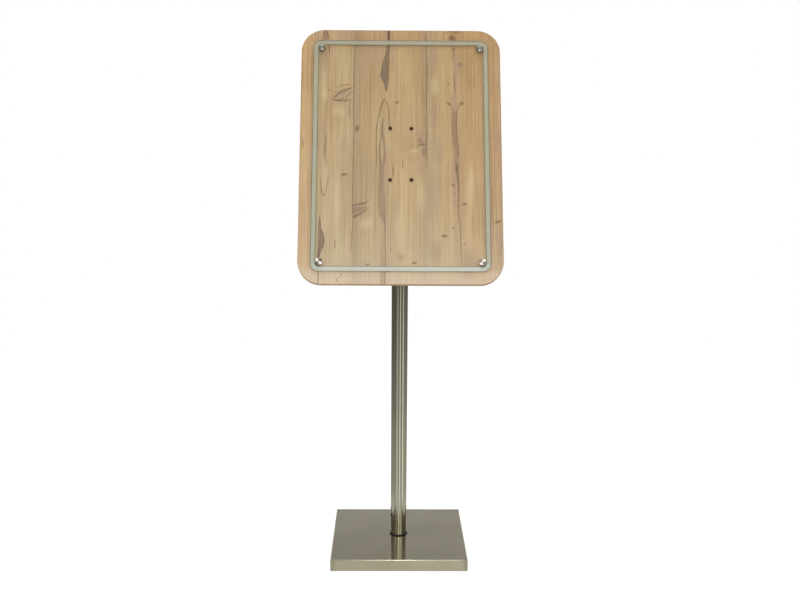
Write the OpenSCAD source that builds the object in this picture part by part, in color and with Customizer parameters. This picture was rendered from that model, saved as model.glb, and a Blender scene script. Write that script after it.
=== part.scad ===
// Free-standing information display: a tilting decor board under a clear cover, on a round steel pole.
// The origin is on the pole's axis at floor level, +Z is up and the board faces -Y.

/* [Board] */
// Width of the board
board_w = 600; // [540:5:800]
// Height of the board along its slope
board_h = 790; // [730:5:1000]
// Whole thickness of the board with its laminates
board_t = 18; // [15:0.5:28]
// Radius of the board's corners
board_corner_r = 70; // [30:1:100]
// Thickness of each laminate sheet
laminate_t = 0.8; // [0.5:0.1:1.5]
// Thickness of the edge band
edge_band_t = 1; // [0.5:0.1:3]
// Lean of the board back from upright, in degrees
tilt = 21; // [0:0.5:45]

/* [Cover] */
// Width of the clear cover
cover_w = 525; // [490:1:535]
// Height of the clear cover
cover_h = 716; // [680:1:725]
// Thickness of the clear cover
cover_t = 3; // [2:0.5:6]
// Radius of the cover's corners
cover_corner_r = 24; // [10:1:50]
// Gap between the board and the cover
cover_gap = 7; // [5:0.5:15]
// Width of the frosted border strip
border_w = 15; // [6:0.5:20]
// Thickness of the border strip
border_t = 0.4; // [0.2:0.1:1]
// Inner corner radius of the border strip
border_inner_r = 9; // [3:1:20]

/* [Cover fixings] */
// Spacing of the caps across the board
cap_spacing_x = 474; // [430:1:480]
// Spacing of the caps up the board
cap_spacing_y = 662; // [620:1:670]
// Diameter of a cap
cap_d = 22; // [16:0.5:30]
// Thickness of a cap
cap_t = 6; // [5.5:0.5:12]
// Chamfer round a cap's front edge
cap_chamfer = 0.8; // [0.2:0.1:1.5]
// Front wall left by a cap's blind thread
cap_wall = 1; // [0.8:0.1:2]
// Diameter of the soft washer under a cap
cap_washer_d = 15; // [10:0.5:16]
// Thickness of the soft washer under a cap
cap_washer_t = 0.8; // [0.5:0.1:2]
// Diameter of the threaded studs
stud_d = 6; // [4:0.5:8]
// Outside diameter of the stand-off barrels
standoff_d = 12; // [9:0.5:16]
// Outside diameter of the threaded inserts in the board
insert_d = 9; // [8.5:0.5:14]
// Depth of the threaded inserts in the board
insert_l = 12; // [8:0.5:13]

/* [Bracket] */
// Distance from the tilt axis to the front of the board
board_reach = 62; // [56:1:90]
// Width of the bracket plate
plate_w = 110; // [90:1:160]
// Height of the bracket plate
plate_h = 200; // [180:1:260]
// Thickness of the bracket plate
plate_t = 5; // [3:0.5:8]
// Corner radius of the bracket plate
plate_corner_r = 8; // [2:1:14]
// Thickness of each bracket ear
ear_t = 6; // [4:0.5:10]
// Radius of the ears and the tongue round the tilt axis
ear_r = 18; // [14:0.5:22]
// Width of an ear where it meets the plate
ear_root = 60; // [44:1:70]
// Spacing of the board bolts across
bolt_spacing_x = 63; // [50:1:72]
// Spacing of the board bolts up the board
bolt_spacing_y = 160; // [130:1:162]
// Diameter of the board bolts
bolt_d = 6; // [4:0.5:8]
// Diameter of the board bolts' round heads
bolt_head_d = 12.5; // [9:0.5:16]
// Height of the board bolts' round heads
bolt_head_h = 2.2; // [1.5:0.1:3.5]
// Width across the flats of the board bolts' nuts
nut_flats = 10; // [9.5:0.5:14]
// Height of the board bolts' nuts
nut_h = 6; // [4:0.5:8]
// Length of bolt that stands past the nut
bolt_tail = 1.5; // [0.5:0.5:3]

/* [Tilt joint] */
// Height of the tilt axis above the floor
pivot_h = 1224; // [1000:1:1400]
// Diameter of the pivot bolt
pivot_d = 10; // [8:0.5:12]
// Thickness of the pole head's tongue
tongue_t = 20; // [14:1:30]
// Diameter of the friction washers
friction_d = 34; // [26:1:36]
// Thickness of the friction washers
friction_t = 1.5; // [1:0.5:3]
// Width across the flats of the pivot bolt's head
pivot_head_flats = 17; // [15:0.5:20]
// Height of the pivot bolt's head
pivot_head_h = 6.4; // [5:0.2:8]
// Diameter of the washer under the knob
knob_washer_d = 24; // [20:1:32]
// Thickness of the washer under the knob
knob_washer_t = 2; // [1.5:0.5:3]
// Diameter of the star knob
knob_d = 52; // [40:1:60]
// Thickness of the star knob's lobes
knob_t = 18; // [12:1:24]
// Diameter of the knob's boss
knob_boss_d = 26; // [22:1:30]
// Length of the knob's boss
knob_boss_l = 10; // [6:1:16]
// Number of lobes on the knob
knob_lobes = 5; // [4:1:7]
// Diameter of the scallops between the lobes
knob_scallop_d = 18; // [12:1:22]
// Distance of the scallops' centres past the knob's rim
knob_scallop_out = 3; // [1:0.5:5]
// Outside diameter of the knob's threaded insert
knob_insert_d = 16; // [14:0.5:19]
// Length of the knob's threaded insert
knob_insert_l = 20; // [14:1:20]

/* [Pole] */
// Outside diameter of the pole
pole_d = 50.8; // [44:0.2:60]
// Wall thickness of the pole
pole_wall = 1.5; // [1:0.1:3]
// Height of the seam between the two pole tubes
seam_h = 609; // [400:1:800]
// Depth of the joiner in each tube
joiner_depth = 60; // [40:1:100]
// Height of the joiner's collar, seen as a hairline at the seam
joiner_collar_h = 0.8; // [0.4:0.1:3]
// Step of the joiner's collar below the pole's surface
joiner_collar_step = 0.4; // [0.2:0.1:1]
// Wall thickness of the joiner and the spigot
plug_wall = 8; // [5:0.5:12]
// Height of the pole head's collar
head_collar_h = 5; // [3:0.5:10]
// Distance from the pole's top end to the tilt axis
head_rise = 52; // [50:1:80]
// Depth of the pole head's plug in the tube
head_plug_l = 50; // [35:1:90]
// Diameter of the screws through the pole's wall
lock_d = 5; // [4:0.5:6]
// Diameter of the lock screws' heads
lock_head_d = 8; // [7:0.5:10]
// Height of the lock screws' heads
lock_head_h = 2.2; // [1.5:0.1:3.5]
// Length of a lock screw under its head
lock_l = 9; // [6:0.5:9.5]
// Height of the foot's lock screw above the base
lock_rise = 64; // [30:1:90]
// Direction of the foot's lock screw round the pole, in degrees from +X
lock_turn = 200; // [150:1:250]

/* [Base] */
// Side of the square base
base_side = 416; // [340:2:560]
// Height of the base above the floor
base_h = 37; // [32:0.5:60]
// Sheet thickness of the base cover
base_sheet = 1.5; // [1:0.1:2]
// Outside bend radius of the base cover
base_fold_r = 2.5; // [2.5:0.1:5]
// Gap from the floor to the base cover's lower edge
base_floor_gap = 1; // [0.5:0.1:1.5]
// Radial gap round the cover screws' heads in the floor pad
pad_access_gap = 2; // [1:0.5:4]
// Thickness of the rubber floor pad
pad_t = 2; // [1.6:0.1:4]
// Distance from the base's side to the floor pad's
pad_inset = 8; // [4:1:40]
// Thickness of the steel weight
weight_t = 12; // [8:1:16]
// Gap between the steel weight and the base cover's wall
weight_gap = 3; // [1:0.5:8]
// Spacing of the cover posts
post_spacing = 330; // [240:1:360]
// Diameter of the cover posts
post_d = 16; // [12:1:24]
// Diameter of the cover screws
post_screw_d = 6; // [4:0.5:8]
// Head diameter of the cover screws
post_screw_head_d = 11; // [10:0.5:14]
// Thread length of the cover screws in the posts
post_screw_grip = 12; // [8:0.5:15]
// Diameter of the spigot's flange
flange_d = 110; // [90:1:140]
// Thickness of the spigot's flange
flange_t = 8; // [6:0.5:10]
// Diameter of the hub under the base cover, inside the flange screws
hub_d = 64; // [56:1:66]
// Pitch circle of the flange screws
flange_pcd = 84; // [76:1:92]
// Number of flange screws
flange_screw_count = 4; // [3:1:8]
// Thread length of the flange screws in the weight
flange_screw_grip = 9; // [5:0.5:10]
// Diameter of the flange screws
flange_screw_d = 8; // [5:0.5:8]
// Head diameter of the flange screws
flange_screw_head_d = 13; // [10:0.5:14]
// Depth of the spigot in the pole
spigot_depth = 110; // [100:1:180]
// Thickness of the foot ring
ring_t = 3.6; // [2:0.2:6]
// Width of the foot ring past the pole
ring_lip = 2.6; // [0.6:0.2:6]

/* [Fits] */
// Radial gap of a close fit, such as a thread or a plug
fit_gap = 0.05; // [0.02:0.01:0.1]
// Radial gap of a screw's clearance hole
hole_gap = 0.4; // [0.2:0.1:0.5]
// Space past the end of a screw in its blind hole
tip_gap = 0.5; // [0.3:0.1:1]

/* [Hidden] */
$fn = 96;

// How far a cut runs past the surface that it opens
cut = 1;
// Parts of a screw head: its rim's share of the height, its top's of the diameter, its socket's of the shank
button_rim = 0.4;
cylinder_rim = 0.9;
head_top = 0.72;
socket_width = 0.6;

// Side of the square floor pad
pad_side = base_side - 2 * pad_inset;

// Heights above the floor
weight_top = pad_t + weight_t;
flange_top = weight_top + flange_t;
pole_foot = base_h + ring_t;
pole_top = pivot_h - head_rise;
lower_pole_top = seam_h - joiner_collar_h / 2;
upper_pole_foot = seam_h + joiner_collar_h / 2;
lock_h = base_h + lock_rise;

// Diameters that follow the pole
pole_bore_d = pole_d - 2 * pole_wall;
plug_d = pole_bore_d - 2 * fit_gap;
plug_bore_d = plug_d - 2 * plug_wall;

// Distances out from the tilt axis, square to the board
board_back = board_reach - board_t;
plate_back = board_back - plate_t;
nut_back = plate_back - nut_h;
cover_back = board_reach + cover_gap;
cover_front = cover_back + cover_t;
cap_back = cover_front + cap_washer_t + fit_gap;
stud_tip = cap_back + cap_t - cap_wall - tip_gap;

// Distances along the tilt axis
ear_inner = tongue_t / 2 + friction_t + fit_gap;
ear_outer = ear_inner + ear_t;
knob_start = ear_outer + knob_washer_t;
pivot_end = knob_start + knob_insert_l - tip_gap;

// Shared forms

// Flat plate with round corners, its back face at zero
module rounded_plate(w, h, r, t) {
    linear_extrude(t) {
        square([w - 2 * r, h], center = true);
        square([w, h - 2 * r], center = true);
        at_corners(w - 2 * r, h - 2 * r) circle(r);
    }
}

// Children at the four corners of a rectangle
module at_corners(dx, dy) {
    for (x = [-dx / 2, dx / 2], y = [-dy / 2, dy / 2])
        translate([x, y, 0]) children();
}

// Frame of the board: its origin is on the tilt axis, X across, Y up the slope and Z out of the front
module head_frame() {
    translate([0, 0, pivot_h]) rotate([90 - tilt, 0, 0]) children();
}

// Flat outline in Y and Z, made t thick along X from x
module across(x, t) {
    translate([x, 0, 0]) rotate([90, 0, 90]) linear_extrude(t) children();
}

// Shaft or hole along X
module x_rod(x, length, d) {
    translate([x, 0, 0]) rotate([0, 90, 0]) cylinder(h = length, d = d);
}

// Square block whose four top edges are rounded, as folded sheet is
module folded_block(side, h, r) {
    intersection() {
        folded_bar(side, h, r);
        rotate([0, 0, 90]) folded_bar(side, h, r);
    }
}

// Square bar along X with its two long top edges rounded
module folded_bar(side, h, r) {
    across(-side / 2, side) {
        translate([-side / 2, 0]) square([side, h - r]);
        translate([-side / 2 + r, 0]) square([side - 2 * r, h]);
        for (y = [-side / 2 + r, side / 2 - r]) translate([y, h - r]) circle(r);
    }
}

// Screw along Z: its shank runs down from zero, its head stands up and has a hexagon socket
module socket_screw(d, length, head_d, head_h, rim, top) {
    difference() {
        union() {
            translate([0, 0, -length]) cylinder(h = length, d = d);
            cylinder(h = head_h * rim, d = head_d);
            translate([0, 0, head_h * rim])
                cylinder(h = head_h * (1 - rim), d1 = head_d, d2 = head_d * top);
        }
        translate([0, 0, head_h / 2]) cylinder(h = head_h, d = d * socket_width, $fn = 6);
    }
}

// Children on the pole's surface at height z, turned round to face the direction given
module on_pole(z, turn) {
    rotate([0, 0, turn]) translate([pole_d / 2, 0, z]) rotate([0, 90, 0]) children();
}

// Screw through the pole's wall into the plug behind it
module pole_screw(z, turn) {
    on_pole(z, turn) socket_screw(lock_d, lock_l, lock_head_d, lock_head_h, button_rim, head_top);
}

// Hole for that screw, gap being the radial gap round it
module pole_screw_hole(z, turn, gap) {
    on_pole(z, turn) translate([0, 0, -lock_l - tip_gap])
        cylinder(h = lock_l + tip_gap + cut, d = lock_d + 2 * gap);
}

// Tube that forms one half of the pole
module pole_tube(z0, z1) {
    translate([0, 0, z0]) difference() {
        cylinder(h = z1 - z0, d = pole_d);
        translate([0, 0, -cut]) cylinder(h = z1 - z0 + 2 * cut, d = pole_bore_d);
    }
}

// Base

module base_pad() {
    color("#2b2b2b") difference() {
        translate([-pad_side / 2, -pad_side / 2, 0]) cube([pad_side, pad_side, pad_t]);
        at_corners(post_spacing, post_spacing)
            translate([0, 0, -cut]) cylinder(h = pad_t + 2 * cut, d = post_screw_head_d + 2 * pad_access_gap);
    }
}

module base_weight() {
    side = base_side - 2 * base_sheet - 2 * weight_gap;
    sink = (post_screw_head_d - post_screw_d) / 2;
    color("#5f6163") difference() {
        translate([-side / 2, -side / 2, pad_t]) cube([side, side, weight_t]);
        at_corners(post_spacing, post_spacing) translate([0, 0, pad_t]) {
            translate([0, 0, -cut]) cylinder(h = weight_t + 2 * cut, d = post_screw_d + 2 * hole_gap);
            translate([0, 0, -fit_gap])
                cylinder(h = sink, d1 = post_screw_head_d + 2 * hole_gap, d2 = post_screw_d + 2 * hole_gap);
        }
        flange_screw_places() translate([0, 0, weight_top - flange_screw_grip - tip_gap])
            cylinder(h = flange_screw_grip + tip_gap + cut, d = flange_screw_d + 2 * fit_gap);
    }
}

module base_cover() {
    wall_h = base_h - base_floor_gap;
    color("#b9b6a8") translate([0, 0, base_floor_gap]) difference() {
        folded_block(base_side, wall_h, base_fold_r);
        translate([0, 0, -cut])
            folded_block(base_side - 2 * base_sheet, wall_h - base_sheet + cut, base_fold_r - base_sheet);
        cylinder(h = base_h + 2 * cut, d = plug_d + 2 * hole_gap);
    }
}

module cover_posts() {
    color("#77797b") at_corners(post_spacing, post_spacing) translate([0, 0, weight_top]) difference() {
        cylinder(h = base_h - base_sheet - weight_top, d = post_d);
        translate([0, 0, -cut])
            cylinder(h = cut + post_screw_grip + tip_gap, d = post_screw_d + 2 * fit_gap);
    }
}

module cover_screws() {
    sink = (post_screw_head_d - post_screw_d) / 2;
    color("#8d8f91") at_corners(post_spacing, post_spacing) translate([0, 0, pad_t]) difference() {
        union() {
            cylinder(h = weight_t + post_screw_grip, d = post_screw_d);
            cylinder(h = sink, d1 = post_screw_head_d, d2 = post_screw_d);
        }
        translate([0, 0, -cut]) cylinder(h = sink + cut, d = post_screw_d * socket_width, $fn = 6);
    }
}

module flange_screw_places() {
    for (i = [0 : flange_screw_count - 1])
        rotate([0, 0, 45 + i * 360 / flange_screw_count]) translate([flange_pcd / 2, 0, 0]) children();
}

module pole_spigot() {
    color("#8b8d8f") difference() {
        union() {
            translate([0, 0, weight_top]) cylinder(h = flange_t, d = flange_d);
            translate([0, 0, weight_top]) cylinder(h = base_h - base_sheet - weight_top, d = hub_d);
            translate([0, 0, weight_top]) cylinder(h = pole_foot + spigot_depth - weight_top, d = plug_d);
        }
        translate([0, 0, flange_top]) cylinder(h = pole_foot + spigot_depth, d = plug_bore_d);
        flange_screw_places() translate([0, 0, weight_top - cut])
            cylinder(h = flange_t + 2 * cut, d = flange_screw_d + 2 * hole_gap);
        pole_screw_hole(lock_h, lock_turn, fit_gap);
    }
}

module flange_screws() {
    color("#9a9c9e") flange_screw_places() translate([0, 0, flange_top])
        socket_screw(
            flange_screw_d, flange_t + flange_screw_grip, flange_screw_head_d, flange_screw_d,
            cylinder_rim, cylinder_rim
        );
}

module foot_ring() {
    color("#151310") translate([0, 0, base_h]) difference() {
        cylinder(h = ring_t, d = pole_d + 2 * ring_lip);
        translate([0, 0, -cut]) cylinder(h = ring_t + 2 * cut, d = plug_d + 2 * hole_gap);
    }
}

// Pole

module lower_pole() {
    color("#a9a692") difference() {
        pole_tube(pole_foot, lower_pole_top);
        pole_screw_hole(lock_h, lock_turn, hole_gap);
        pole_screw_hole(seam_h - joiner_depth / 2, 90, hole_gap);
    }
}

module upper_pole() {
    color("#a9a692") difference() {
        pole_tube(upper_pole_foot, pole_top);
        pole_screw_hole(seam_h + joiner_depth / 2, 90, hole_gap);
        pole_screw_hole(pole_top - head_plug_l / 2, 90, hole_gap);
    }
}

module pole_joiner() {
    color("#6f6e64") difference() {
        union() {
            translate([0, 0, seam_h - joiner_depth]) cylinder(h = 2 * joiner_depth, d = plug_d);
            translate([0, 0, lower_pole_top])
                cylinder(h = joiner_collar_h, d = pole_d - 2 * joiner_collar_step);
        }
        translate([0, 0, seam_h - joiner_depth - cut])
            cylinder(h = 2 * (joiner_depth + cut), d = plug_bore_d);
        pole_screw_hole(seam_h - joiner_depth / 2, 90, fit_gap);
        pole_screw_hole(seam_h + joiner_depth / 2, 90, fit_gap);
    }
}

module joiner_screws() {
    color("#1d1c1a") {
        pole_screw(seam_h - joiner_depth / 2, 90);
        pole_screw(seam_h + joiner_depth / 2, 90);
    }
}

module locking_screw() {
    color("#1d1c1a") pole_screw(lock_h, lock_turn);
}

module pole_head() {
    color("#8b8d8f") difference() {
        union() {
            translate([0, 0, pole_top - head_plug_l]) cylinder(h = head_plug_l, d = plug_d);
            translate([0, 0, pole_top]) cylinder(h = head_collar_h, d = pole_d);
            translate([0, 0, pivot_h]) across(-tongue_t / 2, tongue_t) {
                circle(ear_r);
                translate([-ear_r, -head_rise]) square([2 * ear_r, head_rise]);
            }
        }
        translate([0, 0, pivot_h]) x_rod(-tongue_t, 2 * tongue_t, pivot_d + 2 * fit_gap);
        pole_screw_hole(pole_top - head_plug_l / 2, 90, fit_gap);
    }
}

module head_screw() {
    color("#1d1c1a") pole_screw(pole_top - head_plug_l / 2, 90);
}

module friction_washers() {
    color("#3b3a36") translate([0, 0, pivot_h]) for (x = [-tongue_t / 2 - friction_t, tongue_t / 2])
        difference() {
            x_rod(x, friction_t, friction_d);
            x_rod(x - cut, friction_t + 2 * cut, pivot_d + 2 * fit_gap);
        }
}

// Tilting bracket and its clamp

module tilt_bracket() {
    color("#4a4b4c") head_frame() difference() {
        union() {
            translate([0, 0, plate_back]) rounded_plate(plate_w, plate_h, plate_corner_r, plate_t);
            for (x = [-ear_outer, ear_inner]) across(x, ear_t) {
                circle(ear_r);
                polygon([
                    [-ear_r, 0], [ear_r, 0],
                    [ear_root / 2, plate_back + plate_t / 2], [-ear_root / 2, plate_back + plate_t / 2]
                ]);
            }
        }
        x_rod(-ear_outer - cut, 2 * (ear_outer + cut), pivot_d + 2 * fit_gap);
        at_corners(bolt_spacing_x, bolt_spacing_y) translate([0, 0, plate_back - cut])
            cylinder(h = plate_t + 2 * cut, d = bolt_d + 2 * hole_gap);
    }
}

module pivot_bolt() {
    color("#9a9c9e") head_frame() {
        x_rod(-ear_outer, ear_outer + pivot_end, pivot_d);
        translate([-ear_outer - pivot_head_h, 0, 0]) rotate([0, 90, 0])
            cylinder(h = pivot_head_h, d = pivot_head_flats / cos(30), $fn = 6);
    }
}

module knob_washer() {
    color("#b0b2b4") head_frame() difference() {
        x_rod(ear_outer, knob_washer_t, knob_washer_d);
        x_rod(ear_outer - cut, knob_washer_t + 2 * cut, pivot_d + 2 * hole_gap);
    }
}

module tilt_knob() {
    color("#1a1a1b") head_frame() difference() {
        union() {
            x_rod(knob_start, knob_boss_l + knob_t / 2, knob_boss_d);
            difference() {
                x_rod(knob_start + knob_boss_l, knob_t, knob_d);
                for (i = [0 : knob_lobes - 1])
                    rotate([i * 360 / knob_lobes, 0, 0])
                        translate([0, 0, knob_d / 2 + knob_scallop_out])
                            x_rod(knob_start + knob_boss_l - cut, knob_t + 2 * cut, knob_scallop_d);
            }
        }
        x_rod(knob_start - cut, knob_insert_l + cut, knob_insert_d);
    }
}

module knob_insert() {
    color("#b08d4a") head_frame() difference() {
        x_rod(knob_start, knob_insert_l, knob_insert_d);
        x_rod(knob_start - cut, knob_insert_l + 2 * cut, pivot_d + 2 * fit_gap);
    }
}

// Board

// The board's outline drawn in by inset, t thick
module board_outline(inset, t) {
    rounded_plate(board_w - 2 * inset, board_h - 2 * inset, board_corner_r - inset, t);
}

// One layer of the board inside the edge band, with the bolts' holes
module board_layer(z, t) {
    translate([0, 0, z]) difference() {
        board_outline(edge_band_t, t);
        at_corners(bolt_spacing_x, bolt_spacing_y)
            translate([0, 0, -cut]) cylinder(h = t + 2 * cut, d = bolt_d + 2 * hole_gap);
    }
}

// Blind holes for the threaded inserts
module insert_holes() {
    at_corners(cap_spacing_x, cap_spacing_y) translate([0, 0, board_reach - insert_l])
        cylinder(h = insert_l + cut, d = insert_d + 2 * fit_gap);
}

module board_core() {
    color("#c9b48c") head_frame() difference() {
        board_layer(board_back + laminate_t, board_t - 2 * laminate_t);
        insert_holes();
    }
}

module front_laminate() {
    color("#bd9c74") head_frame() difference() {
        board_layer(board_reach - laminate_t, laminate_t);
        insert_holes();
    }
}

module back_laminate() {
    color("#bd9c74") head_frame() board_layer(board_back, laminate_t);
}

module edge_band() {
    color("#b3916a") head_frame() translate([0, 0, board_back]) difference() {
        board_outline(0, board_t);
        translate([0, 0, -cut]) board_outline(edge_band_t, board_t + 2 * cut);
    }
}

module bracket_bolts() {
    color("#4e3611") head_frame() at_corners(bolt_spacing_x, bolt_spacing_y)
        translate([0, 0, board_reach])
            socket_screw(
                bolt_d, board_reach - nut_back + bolt_tail, bolt_head_d, bolt_head_h, button_rim, head_top
            );
}

module bracket_nuts() {
    color("#9a9c9e") head_frame() at_corners(bolt_spacing_x, bolt_spacing_y)
        translate([0, 0, nut_back]) difference() {
            cylinder(h = nut_h, d = nut_flats / cos(30), $fn = 6);
            translate([0, 0, -cut]) cylinder(h = nut_h + 2 * cut, d = bolt_d + 2 * fit_gap);
        }
}

// Cover and its fixings

module stud_inserts() {
    color("#b08d4a") head_frame() at_corners(cap_spacing_x, cap_spacing_y)
        translate([0, 0, board_reach - insert_l]) difference() {
            cylinder(h = insert_l, d = insert_d);
            translate([0, 0, -cut]) cylinder(h = insert_l + 2 * cut, d = stud_d + 2 * fit_gap);
        }
}

module cover_studs() {
    color("#9a9c9e") head_frame() at_corners(cap_spacing_x, cap_spacing_y)
        translate([0, 0, board_reach - insert_l])
            cylinder(h = stud_tip - board_reach + insert_l, d = stud_d);
}

module standoffs() {
    color("#c4c2b8") head_frame() at_corners(cap_spacing_x, cap_spacing_y)
        translate([0, 0, board_reach]) difference() {
            cylinder(h = cover_gap, d = standoff_d);
            translate([0, 0, -cut]) cylinder(h = cover_gap + 2 * cut, d = stud_d + 2 * hole_gap);
        }
}

module cover_panel() {
    color("#dfe6dc", 0.35) head_frame() translate([0, 0, cover_back]) difference() {
        rounded_plate(cover_w, cover_h, cover_corner_r, cover_t);
        at_corners(cap_spacing_x, cap_spacing_y)
            translate([0, 0, -cut]) cylinder(h = cover_t + 2 * cut, d = stud_d + 2 * hole_gap);
    }
}

module border_strip() {
    color("#b4baa6") head_frame() translate([0, 0, cover_back - border_t]) difference() {
        rounded_plate(cover_w, cover_h, cover_corner_r, border_t);
        translate([0, 0, -cut]) rounded_plate(
            cover_w - 2 * border_w, cover_h - 2 * border_w, border_inner_r, border_t + 2 * cut
        );
    }
}

// Child at one stud, side being -1 for left or 1 for right and row -1 for bottom or 1 for top
module at_stud(side, row, z) {
    head_frame() translate([side * cap_spacing_x / 2, row * cap_spacing_y / 2, z]) children();
}

module cap_washer(side, row) {
    color("#e4e4de") at_stud(side, row, cover_front) difference() {
        cylinder(h = cap_washer_t, d = cap_washer_d);
        translate([0, 0, -cut]) cylinder(h = cap_washer_t + 2 * cut, d = stud_d + 2 * hole_gap);
    }
}

module cap(side, row) {
    color("#d2cfc4") at_stud(side, row, cap_back) difference() {
        rotate_extrude() polygon([
            [0, 0], [cap_d / 2, 0], [cap_d / 2, cap_t - cap_chamfer],
            [cap_d / 2 - cap_chamfer, cap_t], [0, cap_t]
        ]);
        translate([0, 0, -cut]) cylinder(h = cap_t - cap_wall + cut, d = stud_d + 2 * fit_gap);
    }
}

base_pad();
base_weight();
base_cover();
cover_posts();
cover_screws();
pole_spigot();
flange_screws();
foot_ring();
lower_pole();
upper_pole();
pole_joiner();
joiner_screws();
locking_screw();
pole_head();
head_screw();
friction_washers();
tilt_bracket();
pivot_bolt();
knob_washer();
tilt_knob();
knob_insert();
bracket_bolts();
bracket_nuts();
board_core();
front_laminate();
back_laminate();
edge_band();
stud_inserts();
cover_studs();
standoffs();
cover_panel();
border_strip();
cap_washer(-1, 1);  // washer_top_left
cap_washer(1, 1);  // washer_top_right
cap_washer(-1, -1);  // washer_bottom_left
cap_washer(1, -1);  // washer_bottom_right
cap(-1, 1);  // cap_top_left
cap(1, 1);  // cap_top_right
cap(-1, -1);  // cap_bottom_left
cap(1, -1);  // cap_bottom_right
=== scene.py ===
import math

import bmesh
import bpy
from mathutils import Matrix, Vector


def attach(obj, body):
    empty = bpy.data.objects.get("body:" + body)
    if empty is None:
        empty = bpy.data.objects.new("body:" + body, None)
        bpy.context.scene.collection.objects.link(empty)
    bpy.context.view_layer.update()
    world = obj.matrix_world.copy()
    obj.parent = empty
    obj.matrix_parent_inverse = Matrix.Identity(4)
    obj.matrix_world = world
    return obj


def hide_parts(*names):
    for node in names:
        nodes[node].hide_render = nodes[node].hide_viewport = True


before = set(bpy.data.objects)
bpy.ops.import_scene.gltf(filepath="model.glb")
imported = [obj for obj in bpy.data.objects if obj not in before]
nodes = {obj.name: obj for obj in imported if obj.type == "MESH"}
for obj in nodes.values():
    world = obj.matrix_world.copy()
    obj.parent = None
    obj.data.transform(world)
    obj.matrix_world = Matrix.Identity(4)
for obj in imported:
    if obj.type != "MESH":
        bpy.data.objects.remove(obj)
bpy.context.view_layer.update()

print("stage: frame loaded,", len(nodes), "nodes")

# Pieces are drawn in millimetres and placed in metres. The board's own frame has X across, Y up its slope and Z out of
# its front
mm = 0.001
stand = {"pivotHeight": 1224.0, "lean": 21.0}
onFloor = Matrix.Scale(mm, 4)
onBoard = (
    Matrix.Translation((0, 0, stand["pivotHeight"] * mm))
    @ Matrix.Rotation(math.radians(90 - stand["lean"]), 4, "X")
    @ Matrix.Scale(mm, 4)
)
corners = {"top_left": (-1, 1), "top_right": (1, 1), "bottom_left": (-1, -1), "bottom_right": (1, -1)}


# Small helpers for colours, nodes and meshes

def linearColour(text):
    # sRGB hex, such as "bd9c74", to linear values
    parts = [int(text[i:i + 2], 16) / 255 for i in (0, 2, 4)]
    return [c / 12.92 if c <= 0.04045 else ((c + 0.055) / 1.055) ** 2.4 for c in parts] + [1.0]


def addNode(tree, kind, links=None, **settings):
    # Adds one node with its settings, fills its inputs with sockets or plain values, and returns its first live output
    node = tree.nodes.new(kind)
    for key, value in settings.items():
        setattr(node, key, value)
    for key, value in (links or {}).items():
        if isinstance(value, bpy.types.NodeSocket):
            tree.links.new(value, node.inputs[key])
        else:
            node.inputs[key].default_value = value
    return next((socket for socket in node.outputs if socket.enabled), node)


def setStops(socket, stops):
    # Gives a colour ramp its stops: (position, sRGB hex or plain grey)
    ramp = socket.node.color_ramp
    while len(ramp.elements) > 1:
        ramp.elements.remove(ramp.elements[-1])
    for i, (place, tone) in enumerate(stops):
        element = ramp.elements[0] if i == 0 else ramp.elements.new(place)
        element.position = place
        element.color = linearColour(tone) if isinstance(tone, str) else (tone, tone, tone, 1)
    return socket


def newMaterial(name, **fixed):
    # A material with one Principled shader, whose plain values go on its own sockets, and the point that it colours
    material = bpy.data.materials.new(name)
    material.use_nodes = True
    tree = material.node_tree
    tree.nodes.clear()
    shader = tree.nodes.new("ShaderNodeBsdfPrincipled")
    for key, value in fixed.items():
        shader.inputs[key.replace("_", " ")].default_value = value
    addNode(tree, "ShaderNodeOutputMaterial", {"Surface": shader.outputs[0]})
    return material, tree, shader, addNode(tree, "ShaderNodeTexCoord").node.outputs["Object"]


def feedShader(tree, shader, **sockets):
    # Links sockets to the shader's inputs, whose names are given with _ for a space
    for key, socket in sockets.items():
        tree.links.new(socket, shader.inputs[key.replace("_", " ")])


def showSurface(tree, surface):
    # Puts a mix of shaders on the material's output in place of the Principled one
    output = next(node for node in tree.nodes if node.type == "OUTPUT_MATERIAL")
    tree.links.new(surface, output.inputs["Surface"])


def placeOnBoard(tree, point):
    # The point in the board's own millimetres
    return addNode(tree, "ShaderNodeMapping", {
        "Vector": point, "Location": (0, 0, stand["pivotHeight"] * mm),
        "Rotation": (math.radians(90 - stand["lean"]), 0, 0), "Scale": (mm, mm, mm)}, vector_type="TEXTURE")


def dress(piece, material):
    piece.data.materials.clear()
    piece.data.materials.append(material)


def dressNode(name, material):
    # A CAD node whose shape stays gets its material in its object's slots
    for slot in nodes[name].material_slots:
        slot.link = "OBJECT"
        slot.material = material


def finishMesh(bm, name, place=None, reach=0.001):
    # Merges doubles closer than reach, turns the faces outwards and moves the mesh to its place
    bmesh.ops.remove_doubles(bm, verts=bm.verts, dist=reach)
    bmesh.ops.recalc_face_normals(bm, faces=bm.faces)
    if place is not None:
        bm.transform(place)
    mesh = bpy.data.meshes.new(name)
    bm.to_mesh(mesh)
    bm.free()
    return mesh


def addPiece(name, mesh, material, body, slot, *replaced, sharp=20):
    piece = bpy.data.objects.new(name, mesh)
    bpy.context.scene.collection.objects.link(piece)
    dress(piece, material)
    if sharp:
        mesh.shade_smooth()
        mesh.set_sharp_from_angle(angle=math.radians(sharp))
    if replaced:
        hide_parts(*replaced)
    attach(piece, body)
    return piece


def joinMeshes(*meshes):
    bm = bmesh.new()
    for mesh in meshes:
        bm.from_mesh(mesh)
        bpy.data.meshes.remove(mesh)
    mesh = bpy.data.meshes.new("joined")
    bm.to_mesh(mesh)
    bm.free()
    return mesh


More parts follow.
